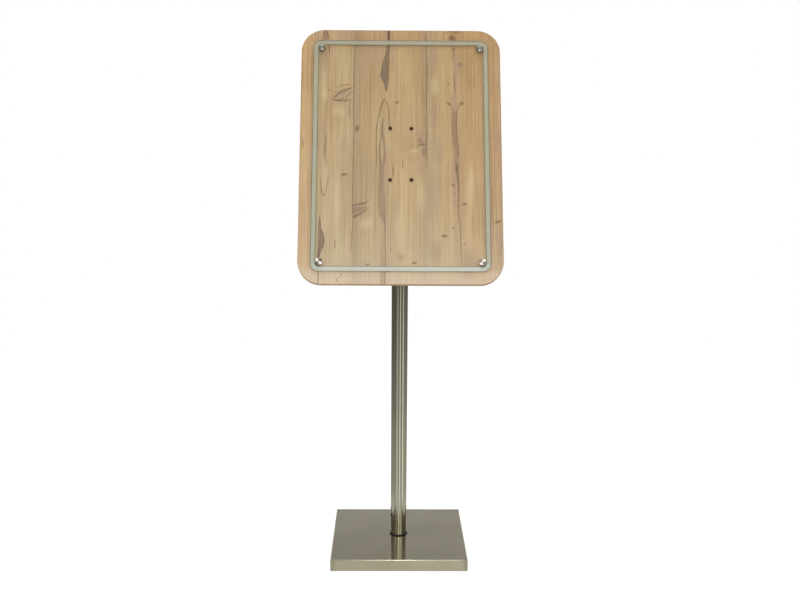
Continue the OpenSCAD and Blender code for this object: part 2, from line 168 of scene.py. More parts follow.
def loftMesh(name, rings, place, closed=True):
    # Joins rings of points of the same count, each (x, y, z); a ring of one point closes an end
    bm = bmesh.new()
    made = [[bm.verts.new(point) for point in ring] for ring in rings]
    count = max(len(ring) for ring in made)
    pairs = list(zip(made, made[1:])) + ([(made[-1], made[0])] if closed else [])
    for low, high in pairs:
        for i in range(count):
            j = (i + 1) % count
            face = [low[i % len(low)], low[j % len(low)], high[j % len(high)], high[i % len(high)]]
            face = [vert for k, vert in enumerate(face) if vert not in face[:k]]
            if len(face) > 2:
                bm.faces.new(face)
    return finishMesh(bm, name, place)


def turnedMesh(name, profile, place, sides=64):
    # A form turned about Z from (radius, height) points; it is closed on the axis, or on itself where it is a ring
    rings = []
    for radius, height in profile:
        angles = [2 * math.pi * i / sides for i in range(sides if radius > 0 else 1)]
        rings.append([(radius * math.cos(a), radius * math.sin(a), height) for a in angles])
    return loftMesh(name, rings, place, closed=len(rings[0]) > 1)


def quarterTurn(steps):
    # Angles from 0 to 90 degrees, for a rounded edge
    return [math.radians(90 * i / steps) for i in range(steps + 1)]


def washerProfile(washer):
    # A plain washer's section, with its two outer edges eased
    bore, radius, low, high, edge = (washer[key] for key in ("bore", "radius", "low", "high", "edge"))
    return [
        (bore, low), (radius - edge, low), (radius, low + edge), (radius, high - edge), (radius - edge, high),
        (bore, high),
    ]


def roundedOutline(width, height, radius, steps=16):
    points = []
    for quarter, (sx, sy) in enumerate(((1, 1), (-1, 1), (-1, -1), (1, -1))):
        for i in range(steps + 1):
            angle = math.radians(90 * quarter + 90 * i / steps)
            points.append((
                sx * (width / 2 - radius) + radius * math.cos(angle),
                sy * (height / 2 - radius) + radius * math.sin(angle),
            ))
    return points


def cornerSpots(spacing):
    # The four corners of a rectangle of this width and height round the middle, by their names
    return {corner: (sx * spacing[0] / 2, sy * spacing[1] / 2) for corner, (sx, sy) in corners.items()}


def cornerHoles(radius, spacing, steps=48):
    # Outlines of four round holes
    angles = [2 * math.pi * i / steps for i in range(steps)]
    return [
        [(x + radius * math.cos(a), y + radius * math.sin(a)) for a in angles]
        for x, y in cornerSpots(spacing).values()]


def evaluatedMesh(holder):
    # The mesh that an object's curve or modifier makes; the object itself goes
    bpy.context.scene.collection.objects.link(holder)
    made = bpy.data.meshes.new_from_object(holder.evaluated_get(bpy.context.evaluated_depsgraph_get()))
    bpy.data.objects.remove(holder)
    return made


def sheetMesh(name, outlines, low, high, edge, place, edgeSteps=2):
    # A flat sheet from height low to high with eased edges; the first outline is its outside, the others are holes
    curve = bpy.data.curves.new(name, "CURVE")
    curve.dimensions = "2D"
    curve.fill_mode = "BOTH"
    curve.extrude = (high - low) / 2 - edge
    curve.bevel_depth = edge
    curve.bevel_resolution = edgeSteps
    curve.offset = -edge
    for outline in outlines:
        spline = curve.splines.new("POLY")
        spline.points.add(len(outline) - 1)
        spline.points.foreach_set("co", [c for x, y in outline for c in (x, y, 0, 1)])
        spline.use_cyclic_u = True
    drawn = evaluatedMesh(bpy.data.objects.new(name, curve))
    bpy.data.curves.remove(curve)
    bm = bmesh.new()
    bm.from_mesh(drawn)
    bpy.data.meshes.remove(drawn)
    bm.transform(Matrix.Translation((0, 0, (low + high) / 2)))
    return finishMesh(bm, name, place, 0.002)


softening = {
    "merge": 0.00001,  # metres
    "flat": 0.6, "sharp": 30,  # degrees between faces that are one flat face, and at an edge that is eased
    "segments": 2,
    "width": {"base_weight": 0.6, "base_pad": 0.5, "pole_spigot": 0.5, "pole_head": 0.8, "tilt_bracket": 0.9},  # mm
}


def softenedCopy(name):
    # A copy of a CAD node with its flat faces made whole and its sharp edges eased; its rigid form stays
    bm = bmesh.new()
    bm.from_mesh(nodes[name].data)
    bmesh.ops.remove_doubles(bm, verts=bm.verts, dist=softening["merge"])
    bmesh.ops.dissolve_limit(bm, angle_limit=math.radians(softening["flat"]), verts=bm.verts, edges=bm.edges)
    holder = bpy.data.objects.new(name + "Soft", finishMesh(bm, name + "Soft", None, softening["merge"]))
    bevel = holder.modifiers.new("easedEdges", "BEVEL")
    bevel.width = softening["width"][name] * mm
    bevel.segments = softening["segments"]
    bevel.limit_method = "ANGLE"
    bevel.angle_limit = math.radians(softening["sharp"])
    bevel.harden_normals = False
    return evaluatedMesh(holder)


def newGeometryTree(name, **inputs):
    # A Geometry Nodes tree with named inputs, each given with its kind; returns it, the inputs' identifiers and sockets
    tree = bpy.data.node_groups.new(name, "GeometryNodeTree")
    identifiers = {}
    for label, kind in inputs.items():
        label = label.replace("_", " ")
        identifiers[label] = tree.interface.new_socket(
            label, in_out="INPUT", socket_type="NodeSocket" + kind).identifier
    tree.interface.new_socket("Geometry", in_out="OUTPUT", socket_type="NodeSocketGeometry")
    return tree, identifiers, tree.nodes.new("NodeGroupInput").outputs


def closeGeometryTree(tree, geometry, finish):
    # What the tree has made turns into plain mesh, gets its material and leaves the tree
    real = addNode(tree, "GeometryNodeRealizeInstances", {"Geometry": geometry})
    finished = addNode(tree, "GeometryNodeSetMaterial", {"Geometry": real, "Material": finish})
    tree.links.new(finished, tree.nodes.new("NodeGroupOutput").inputs[0])


def runGeometryTree(name, built, values):
    # The mesh that the tree makes with these values of its inputs
    tree, identifiers = built
    holder = bpy.data.objects.new(name, bpy.data.meshes.new(name))
    modifier = holder.modifiers.new(name, "NODES")
    modifier.node_group = tree
    for label, value in values.items():
        modifier[identifiers[label]] = value
    return evaluatedMesh(holder)


def buildRepeatTree():
    # Copies one fitting to the corners of a rectangle or round a circle, each turned a little differently, as it is
    # tightened by hand
    tree, identifiers, given = newGeometryTree(
        "repeatFitting", Fitting="Object", Finish="Material", Spacing_Across="Float", Spacing_Up="Float",
        Circle_Radius="Float", Circle_Count="Int", On_A_Circle="Bool", Loose_Turn="Float", Seed="Int")
    grid = addNode(tree, "GeometryNodeMeshGrid", {
        "Size X": given["Spacing Across"], "Size Y": given["Spacing Up"], "Vertices X": 2, "Vertices Y": 2,
    })
    circle = addNode(tree, "GeometryNodeMeshCircle", {
        "Vertices": given["Circle Count"], "Radius": given["Circle Radius"],
    })
    eighth = addNode(tree, "GeometryNodeTransform", {"Geometry": circle, "Rotation": (0, 0, math.radians(45))})
    places = addNode(tree, "GeometryNodeSwitch", {"Switch": given["On A Circle"], "False": grid, "True": eighth})
    turn = addNode(tree, "FunctionNodeRandomValue", {
        2: 0.0, 3: given["Loose Turn"], "Seed": given["Seed"],
    }, data_type="FLOAT")
    turns = addNode(tree, "ShaderNodeCombineXYZ", {"Z": turn})
    fitting = addNode(tree, "GeometryNodeObjectInfo", {"Object": given["Fitting"], "As Instance": True})
    copies = addNode(tree, "GeometryNodeInstanceOnPoints", {
        "Points": places, "Instance": fitting.node.outputs["Geometry"], "Rotation": turns,
    })
    closeGeometryTree(tree, copies, given["Finish"])
    return tree, identifiers


repeatTree = buildRepeatTree()


def addRepeated(name, fittingMesh, place, spread, material, *where):
    # Runs the repeat tree on one fitting drawn at the origin; what it makes is one piece on its body, and the node it
    # replaces is hidden
    fitting = bpy.data.objects.new(name + "One", fittingMesh)
    bpy.context.scene.collection.objects.link(fitting)
    made = runGeometryTree(name + "All", repeatTree, {
        "Fitting": fitting, "Finish": material, "Spacing Across": 1.0, "Spacing Up": 1.0, "Circle Radius": 1.0,
        "Circle Count": 4, "On A Circle": False, "Loose Turn": 1.0, "Seed": 3, **spread,
    })
    bpy.data.objects.remove(fitting)
    made.transform(place)
    made.name = name
    addPiece(name, made, material, *where)


# Camera, at the photograph's viewing angle

camera = {
    "place": (-0.03627, -3.12566, 1.33442), "turn": 0.6795, "down": 9.7396, "roll": 0.3299, "lens": 46.119,
}
cameraData = bpy.data.cameras.new("photoCamera")
cameraData.sensor_fit = "HORIZONTAL"
cameraData.sensor_width = 36.0
cameraData.lens = camera["lens"]
cameraData.clip_end = 100
photoCamera = bpy.data.objects.new("photoCamera", cameraData)
photoCamera.matrix_world = (
    Matrix.Translation(camera["place"])
    @ Matrix.Rotation(math.radians(-camera["turn"]), 4, "Z")
    @ Matrix.Rotation(math.radians(90 - camera["down"]), 4, "X")
    @ Matrix.Rotation(math.radians(camera["roll"]), 4, "Z")
)
bpy.context.scene.collection.objects.link(photoCamera)
bpy.context.scene.camera = photoCamera
bpy.context.scene.view_settings.view_transform = "Standard"
print("stage: camera")


# Studio: pale floor, white surroundings and soft lights

studio = {
    "roomLight": 0.30,      # how bright the grey room is for light and reflections
    "floorRadius": 9.0,     # metres
    "floorFade": (1.3, 3.2),  # metres: the floor fades into the white surroundings between these radii
    "floorGlow": 0.72,      # how far the floor is lit through for the camera, which leaves a faint contact shadow
    # Painted reflections: the floor glows for reflected rays only, with a brightness by distance in metres and long
    # glowing strips that stand in for lamps, each with its direction and half width in degrees and its brightness; 0 is
    # in front, positive towards +X
    "reflectionGlowByDistance": ((0.36, 1.0), (0.50, 0.62), (1.0, 0.54), (1.7, 0.36), (2.6, 0.26), (5.0, 0.14)),
    "reflectionGlowStrips": (
        (-27, 13.0, 0.55), (12, 8.5, 1.15), (53, 9.5, 1.15), (88, 26.0, 0.16), (-165, 8.0, 1.0), (160, 8.0, 1.0)),
    "stripEdge": (1.25, 0.6),  # a strip is dark beyond the first share of its half width and full within the second
    "stripReach": (0.38, 0.46, 4.9, 5.9),  # metres: the strips brighten and fade between these radii
}
# Each softbox: its direction round the stand in degrees (0 in front, positive towards +X), metres, watts
softboxes = {
    "stripMiddle": {"turn": 5, "away": 3.5, "height": 2.0, "size": (0.9, 1.6), "power": 15.5},
    "stripRight": {"turn": 35, "away": 3.5, "height": 2.0, "size": (0.9, 1.6), "power": 13},
    "frontPanel": {"turn": 2, "away": 4.6, "height": 1.95, "size": (6.0, 0.5), "power": 11},
    "glintLamp": {"turn": 0, "away": 3.5, "height": 2.62, "size": (0.22, 0.22), "power": 20},
    "frontFill": {"turn": -48, "away": 3.9, "height": 3.3, "size": (2.4, 1.5), "power": 32},
    "frontKey": {"turn": 50, "away": 3.9, "height": 3.4, "size": (2.4, 1.5), "power": 16},
    "overhead": {"turn": 0, "away": 0.0, "height": 4.4, "size": (3.4, 3.2), "power": 75},
    "backLeft": {"turn": -150, "away": 3.6, "height": 2.6, "size": (1.6, 1.2), "power": 27},
    "backRight": {"turn": 150, "away": 3.6, "height": 2.6, "size": (1.6, 1.2), "power": 27},
    "backLow": {"turn": 180, "away": 4.5, "height": 1.1, "size": (6.0, 1.8), "power": 18},
}
lookAt = Vector((0, 0, 1.0))
for name, box in softboxes.items():
    light = bpy.data.lights.new(name, "AREA")
    light.shape = "RECTANGLE"
    light.size, light.size_y = box["size"]
    light.energy = box["power"]
    holder = bpy.data.objects.new(name, light)
    angle = math.radians(box["turn"])
    holder.location = (box["away"] * math.sin(angle), -box["away"] * math.cos(angle), box["height"])
    holder.rotation_euler = (lookAt - holder.location).to_track_quat("-Z", "Y").to_euler()
    holder.visible_camera = False
    bpy.context.scene.collection.objects.link(holder)

world = bpy.data.worlds.new("studioAir")
world.use_nodes = True
worldTree = world.node_tree
worldTree.nodes.clear()
seen = addNode(worldTree, "ShaderNodeBackground", {"Color": (1, 1, 1, 1), "Strength": 1.0})
room = addNode(worldTree, "ShaderNodeBackground", {"Color": linearColour("fffdf6"), "Strength": studio["roomLight"]})
rays = addNode(worldTree, "ShaderNodeLightPath").node
air = addNode(worldTree, "ShaderNodeMixShader", {0: rays.outputs["Is Camera Ray"], 1: room, 2: seen})
addNode(worldTree, "ShaderNodeOutputWorld", {"Surface": air})
bpy.context.scene.world = world


def mattFloor():
    # Matt white studio floor, painted. For the camera it mostly glows white over a little diffuse, which leaves a faint
    # contact shadow, and it fades into the white surroundings so that no horizon shows
    material, tree, shader, point = newMaterial("mattStudioFloor", Roughness=0.9, Specular_IOR_Level=0.1)
    distance = addNode(tree, "ShaderNodeVectorMath", {0: point}, operation="LENGTH")
    grain = addNode(tree, "ShaderNodeTexNoise", {"Vector": point, "Scale": 3.0, "Detail": 2.0})
    tone = addNode(tree, "ShaderNodeMapRange", {"Value": grain, "To Min": 0.93, "To Max": 0.95})
    grey = addNode(tree, "ShaderNodeCombineColor", {0: tone, 1: tone, 2: tone})
    tree.links.new(grey, shader.inputs["Base Color"])
    white = addNode(tree, "ShaderNodeEmission", {"Color": (1, 1, 1, 1), "Strength": 1.2})
    clear = addNode(tree, "ShaderNodeBsdfTransparent")
    path = addNode(tree, "ShaderNodeLightPath").node.outputs
    litThrough = addNode(tree, "ShaderNodeMath", {
        0: path["Is Camera Ray"], 1: studio["floorGlow"]}, operation="MULTIPLY")
    fade = addNode(tree, "ShaderNodeMapRange", {
        "Value": distance, "From Min": studio["floorFade"][0], "From Max": studio["floorFade"][1],
    }, interpolation_type="SMOOTHSTEP")
    surface = addNode(tree, "ShaderNodeMixShader", {0: litThrough, 1: shader.outputs[0], 2: white})
    surface = addNode(tree, "ShaderNodeMixShader", {0: fade, 1: surface, 2: clear})
    # Painted reflections: polished steel sees a glow that only reflected rays meet, dimmer with distance and crossed by
    # glowing strips
    farthest = studio["reflectionGlowByDistance"][-1][0]
    share = addNode(tree, "ShaderNodeMath", {0: distance, 1: farthest}, operation="DIVIDE")
    level = setStops(addNode(tree, "ShaderNodeValToRGB", {"Fac": share}), [
        (away / farthest, brightness) for away, brightness in studio["reflectionGlowByDistance"]])
    parts = addNode(tree, "ShaderNodeSeparateXYZ", {0: point}).node.outputs
    toFront = addNode(tree, "ShaderNodeMath", {0: parts[1], 1: -1.0}, operation="MULTIPLY")
    angle = addNode(tree, "ShaderNodeMath", {0: parts[0], 1: toFront}, operation="ARCTAN2")
    strips = None
    outside, inside = studio["stripEdge"]
    for turn, half, brightness in studio["reflectionGlowStrips"]:
        off = addNode(tree, "ShaderNodeMath", {0: angle, 1: math.radians(turn)}, operation="SUBTRACT")
        size = addNode(tree, "ShaderNodeMath", {0: off}, operation="ABSOLUTE")
        lit = addNode(tree, "ShaderNodeMapRange", {
            "Value": size, "From Min": math.radians(half * outside), "From Max": math.radians(half * inside),
            "To Min": 0.0, "To Max": brightness}, interpolation_type="SMOOTHSTEP")
        strips = lit if strips is None else addNode(tree, "ShaderNodeMath", {0: strips, 1: lit}, operation="ADD")
    near, full, still, gone = studio["stripReach"]
    for low, high in ((near, full), (gone, still)):
        reach = addNode(tree, "ShaderNodeMapRange", {
            "Value": distance, "From Min": low, "From Max": high}, interpolation_type="SMOOTHSTEP")
        strips = addNode(tree, "ShaderNodeMath", {0: strips, 1: reach}, operation="MULTIPLY")
    total = addNode(tree, "ShaderNodeMath", {0: level, 1: strips}, operation="ADD")
    mirrored = addNode(tree, "ShaderNodeEmission", {"Color": linearColour("fffef8"), "Strength": total})
    surface = addNode(tree, "ShaderNodeMixShader", {0: path["Is Glossy Ray"], 1: surface, 2: mirrored})
    showSurface(tree, surface)
    material.cycles.emission_sampling = "NONE"
    return material


floorBuild = bmesh.new()
bmesh.ops.create_circle(floorBuild, cap_ends=True, segments=96, radius=studio["floorRadius"])
floorMesh = bpy.data.meshes.new("studioFloor")
floorBuild.to_mesh(floorMesh)
floorBuild.free()
studioFloor = bpy.data.objects.new("studioFloor", floorMesh)
bpy.context.scene.collection.objects.link(studioFloor)
dress(studioFloor, mattFloor())
print("stage: studio")


# Materials of metal, rubber and plastic

brushing = {
    # Scratches to the metre along X, Y and Z, and how uneven they make the tone and the roughness
    "round": {"scratches": (4.0, 4.0, 1600.0), "unevenness": 0.12, "roughness": 0.14, "stretch": 0.80},
    "flat": {"scratches": (14.0, 1600.0, 900.0), "unevenness": 0.22, "roughness": 0.20, "stretch": 0.93},
}


def brushedSteel(name, tones, lay):
    # Stainless steel AISI 304, satin brushed by belt: a warm olive grey whose reflections smear square to its scratches
    look = brushing[lay]
    material, tree, shader, point = newMaterial(name, Metallic=1.0, Anisotropic=look["stretch"])
    if lay == "round":  # brushed round the tube, so reflections run up and down it
        smear = addNode(tree, "ShaderNodeCombineXYZ", {"Z": 1.0})
    else:  # brushed along X, and up and down on the two ends of the folded sheet
        normal = addNode(tree, "ShaderNodeNewGeometry").node.outputs["Normal"]
        across = addNode(tree, "ShaderNodeSeparateXYZ", {0: normal})
        size = addNode(tree, "ShaderNodeMath", {0: across}, operation="ABSOLUTE")
        isEnd = addNode(tree, "ShaderNodeMath", {0: size, 1: 0.7}, operation="GREATER_THAN")
        scratch = addNode(tree, "ShaderNodeMix", {
            0: isEnd, 4: (1.0, 0.0, 0.0), 5: (0.0, 0.0, 1.0)}, data_type="VECTOR")
        smear = addNode(tree, "ShaderNodeVectorMath", {0: scratch, 1: normal}, operation="CROSS_PRODUCT")
    stretched = addNode(tree, "ShaderNodeVectorMath", {0: point, 1: look["scratches"]}, operation="MULTIPLY")
    scratches = addNode(tree, "ShaderNodeTexNoise", {
        "Vector": stretched, "Scale": 1.0, "Detail": 2.0, "Roughness": 0.5})
    clouds = addNode(tree, "ShaderNodeTexNoise", {"Vector": point, "Scale": 6.0, "Detail": 3.0})
    uneven = look["unevenness"]
    fine = addNode(tree, "ShaderNodeMath", {0: scratches, 1: uneven, 2: 0.5 - uneven / 2}, operation="MULTIPLY_ADD")
    broad = addNode(tree, "ShaderNodeMath", {0: clouds, 1: 0.4, 2: -0.2}, operation="MULTIPLY_ADD")
    shade = addNode(tree, "ShaderNodeMath", {0: fine, 1: broad}, operation="ADD")
    tone = setStops(addNode(tree, "ShaderNodeValToRGB", {"Fac": shade}), list(zip((0.25, 0.5, 0.75), tones)))
    if lay == "flat":  # the tone is a little darker in a narrow band at each vertical corner
        size = addNode(tree, "ShaderNodeVectorMath", {0: point}, operation="ABSOLUTE")
        sides = addNode(tree, "ShaderNodeSeparateXYZ", {0: size}).node.outputs
        least = addNode(tree, "ShaderNodeMath", {0: sides[0], 1: sides[1]}, operation="MINIMUM")
        nearCorner = addNode(tree, "ShaderNodeMapRange", {
            "Value": least, "From Min": 0.192, "From Max": 0.198, "To Min": 0.0, "To Max": 0.35})
        tone = addNode(tree, "ShaderNodeMix", {
            0: nearCorner, 6: tone, 7: linearColour("7f7d68")}, data_type="RGBA")
    rough = addNode(tree, "ShaderNodeMath", {
        0: scratches, 1: uneven / 4, 2: look["roughness"] - uneven / 8}, operation="MULTIPLY_ADD")
    bump = addNode(tree, "ShaderNodeBump", {"Height": scratches, "Strength": 0.02, "Distance": 0.00003})
    feedShader(tree, shader, Tangent=smear, Base_Color=tone, Roughness=rough, Normal=bump)
    return material


def finishSkin(tree, shader, tone, lumps, roughness, bumpDepth, bumpHeight):
    # The end that plain surfaces share: a roughness that varies a little with their lumps, and the lumps' relief
    rough = addNode(tree, "ShaderNodeMapRange", {
        "Value": lumps, "From Min": 0.3, "From Max": 0.7, "To Min": roughness - 0.07, "To Max": roughness + 0.07})
    bump = addNode(tree, "ShaderNodeBump", {"Height": lumps, "Strength": bumpDepth, "Distance": bumpHeight})
    feedShader(tree, shader, Base_Color=tone, Roughness=rough, Normal=bump)


def plainMetal(name, tones, roughness, grain, bumpDepth=0.1):
    # Metal with a fine cloudy surface: zinc-plated, cast, rolled or drawn; grain is the size of its clouds in mm
    material, tree, shader, point = newMaterial(name, Metallic=1.0)
    clouds = addNode(tree, "ShaderNodeTexNoise", {"Vector": point, "Scale": 1 / (grain * mm), "Detail": 4.0})
    tone = setStops(addNode(tree, "ShaderNodeValToRGB", {"Fac": clouds}), list(zip((0.3, 0.7), tones)))
    finishSkin(tree, shader, tone, clouds, roughness, bumpDepth, 0.2 * mm)
    return material


def grainyCoat(name, tones, roughness, grain, bumpDepth, specular=0.5):
    # Fine-grained skin, such as powder coat, moulded plastic, rubber or fibre; grain is the size of its lumps in mm
    material, tree, shader, point = newMaterial(name, Specular_IOR_Level=specular)
    lumps = addNode(tree, "ShaderNodeTexNoise", {"Vector": point, "Scale": 1 / (grain * mm), "Detail": 3.0})
    clouds = addNode(tree, "ShaderNodeTexNoise", {"Vector": point, "Scale": 25.0, "Detail": 2.0})
    both = addNode(tree, "ShaderNodeMath", {0: lumps, 1: clouds}, operation="MULTIPLY")
    tone = setStops(addNode(tree, "ShaderNodeValToRGB", {"Fac": both}), list(zip((0.12, 0.40), tones)))
    finishSkin(tree, shader, tone, lumps, roughness, bumpDepth, 0.4 * mm)
    return material


baseSteel = brushedSteel("brushedStainlessBase", ("948e7b", "a59f8b", "b4ae9b"), "flat")
poleSteel = brushedSteel("brushedStainlessPole", ("989587", "a4a190", "b0ad9c"), "round")
zincSteel = plainMetal("zincPlatedSteel", ("8e9193", "a9acad"), 0.36, 6)
rolledSteel = plainMetal("hotRolledSteelPlate", ("3b3d40", "5a5c5e"), 0.55, 14, 0.3)
brassMetal = plainMetal("drawnBrass", ("a98444", "c39d58"), 0.30, 5)
drawnAluminium = plainMetal("drawnAluminium", ("a9a89f", "c2c1b8"), 0.32, 5)
blackOxide = plainMetal("blackOxideSteel", ("1c1b1a", "2c2a28"), 0.42, 4)
brownOxide = grainyCoat("brownLacqueredSteel", ("3a2000", "482a02"), 0.60, 1.2, 0.10, 0.01)
bracketPaint = grainyCoat("powderCoatAnthracite", ("37393a", "4a4c4d"), 0.52, 0.8, 0.25)
blackRubber = grainyCoat("blackRubber", ("121110", "1f1d1b"), 0.72, 1.0, 0.2, 0.35)
knobPlastic = grainyCoat("blackNylon", ("151516", "202021"), 0.50, 0.7, 0.18)
washerFibre = grainyCoat("vulcanisedFibre", ("2c2a26", "423f39"), 0.75, 1.5, 0.3, 0.3)
softPlastic = grainyCoat("clearSoftPolyethylene", ("c9c9c1", "e2e2da"), 0.35, 3.0, 0.05)
print("stage: metals and plastics")


def turnedSteel():
    # Stainless steel faced on a lathe: its rings throw two bright wedges, as reflections smear outwards from the centre
    material, tree, shader, point = newMaterial("turnedStainless", Metallic=1.0, Anisotropic=0.97)
    flat = placeOnBoard(tree, point)
    mirrored = addNode(tree, "ShaderNodeVectorMath", {0: flat}, operation="ABSOLUTE")  # all four caps fall on one
    signs = addNode(tree, "ShaderNodeVectorMath", {0: flat}, operation="SIGN")
    fromAxis = addNode(tree, "ShaderNodeVectorMath", {
        0: mirrored, 1: (caps["spacing"][0] / 2, caps["spacing"][1] / 2, 0)}, operation="SUBTRACT")
    outward = addNode(tree, "ShaderNodeVectorMath", {0: fromAxis, 1: signs}, operation="MULTIPLY")
    flatOut = addNode(tree, "ShaderNodeVectorMath", {0: outward, 1: (1, 1, 0)}, operation="MULTIPLY")
    turned = addNode(tree, "ShaderNodeMapping", {
        "Vector": flatOut, "Rotation": (math.radians(90 - stand["lean"]), 0, 0)}, vector_type="NORMAL")
    inWorld = addNode(tree, "ShaderNodeVectorTransform", {
        "Vector": turned}, vector_type="VECTOR", convert_from="OBJECT", convert_to="WORLD")
    radius = addNode(tree, "ShaderNodeVectorMath", {0: flatOut}, operation="LENGTH")
    ringPlace = addNode(tree, "ShaderNodeCombineXYZ", {"X": radius})
    # Grooves 0.45 mm apart
    rings = addNode(tree, "ShaderNodeTexNoise", {"Vector": ringPlace, "Scale": 2.2, "Detail": 3.0})
    tone = setStops(addNode(tree, "ShaderNodeValToRGB", {"Fac": rings}), [(0.3, "908c7e"), (0.7, "b4b0a3")])
    # Painted shade: the chamfer and the wall round the face are darkened, for the shade and dull reflections on the
    # cap's side
    wallShade = addNode(tree, "ShaderNodeMapRange", {
        "Value": radius, "From Min": caps["radius"] - 0.5, "From Max": caps["radius"] - 0.1,
        "To Min": 0.0, "To Max": 0.85})
    tone = addNode(tree, "ShaderNodeMix", {
        0: wallShade, 6: tone, 7: linearColour("5d594c")}, data_type="RGBA")
    rough = addNode(tree, "ShaderNodeMapRange", {"Value": rings, "To Min": 0.26, "To Max": 0.31})
    bump = addNode(tree, "ShaderNodeBump", {"Height": rings, "Strength": 0.10, "Distance": 0.0001})
    feedShader(tree, shader, Tangent=inWorld, Base_Color=tone, Roughness=rough, Normal=bump)
    return material


cover = {
    "width": 525.0, "height": 716.0, "corner": 24.0, "back": 69.0, "front": 72.0, "edge": 0.3, "hole": 3.4,
    "cornerSteps": 20, "innerSteps": 12, "edgeSteps": 3, "border": 15.0, "borderInner": 9.0, "filmThick": 0.38,
    "filmEdge": 0.05, "airGap": 0.03,
}
caps = {"spacing": (474.0, 662.0), "radius": 11.0, "back": 72.85, "front": 78.85, "bore": 3.05, "boreDepth": 5.0}
capSteel = turnedSteel()


# Materials of the board and its cover

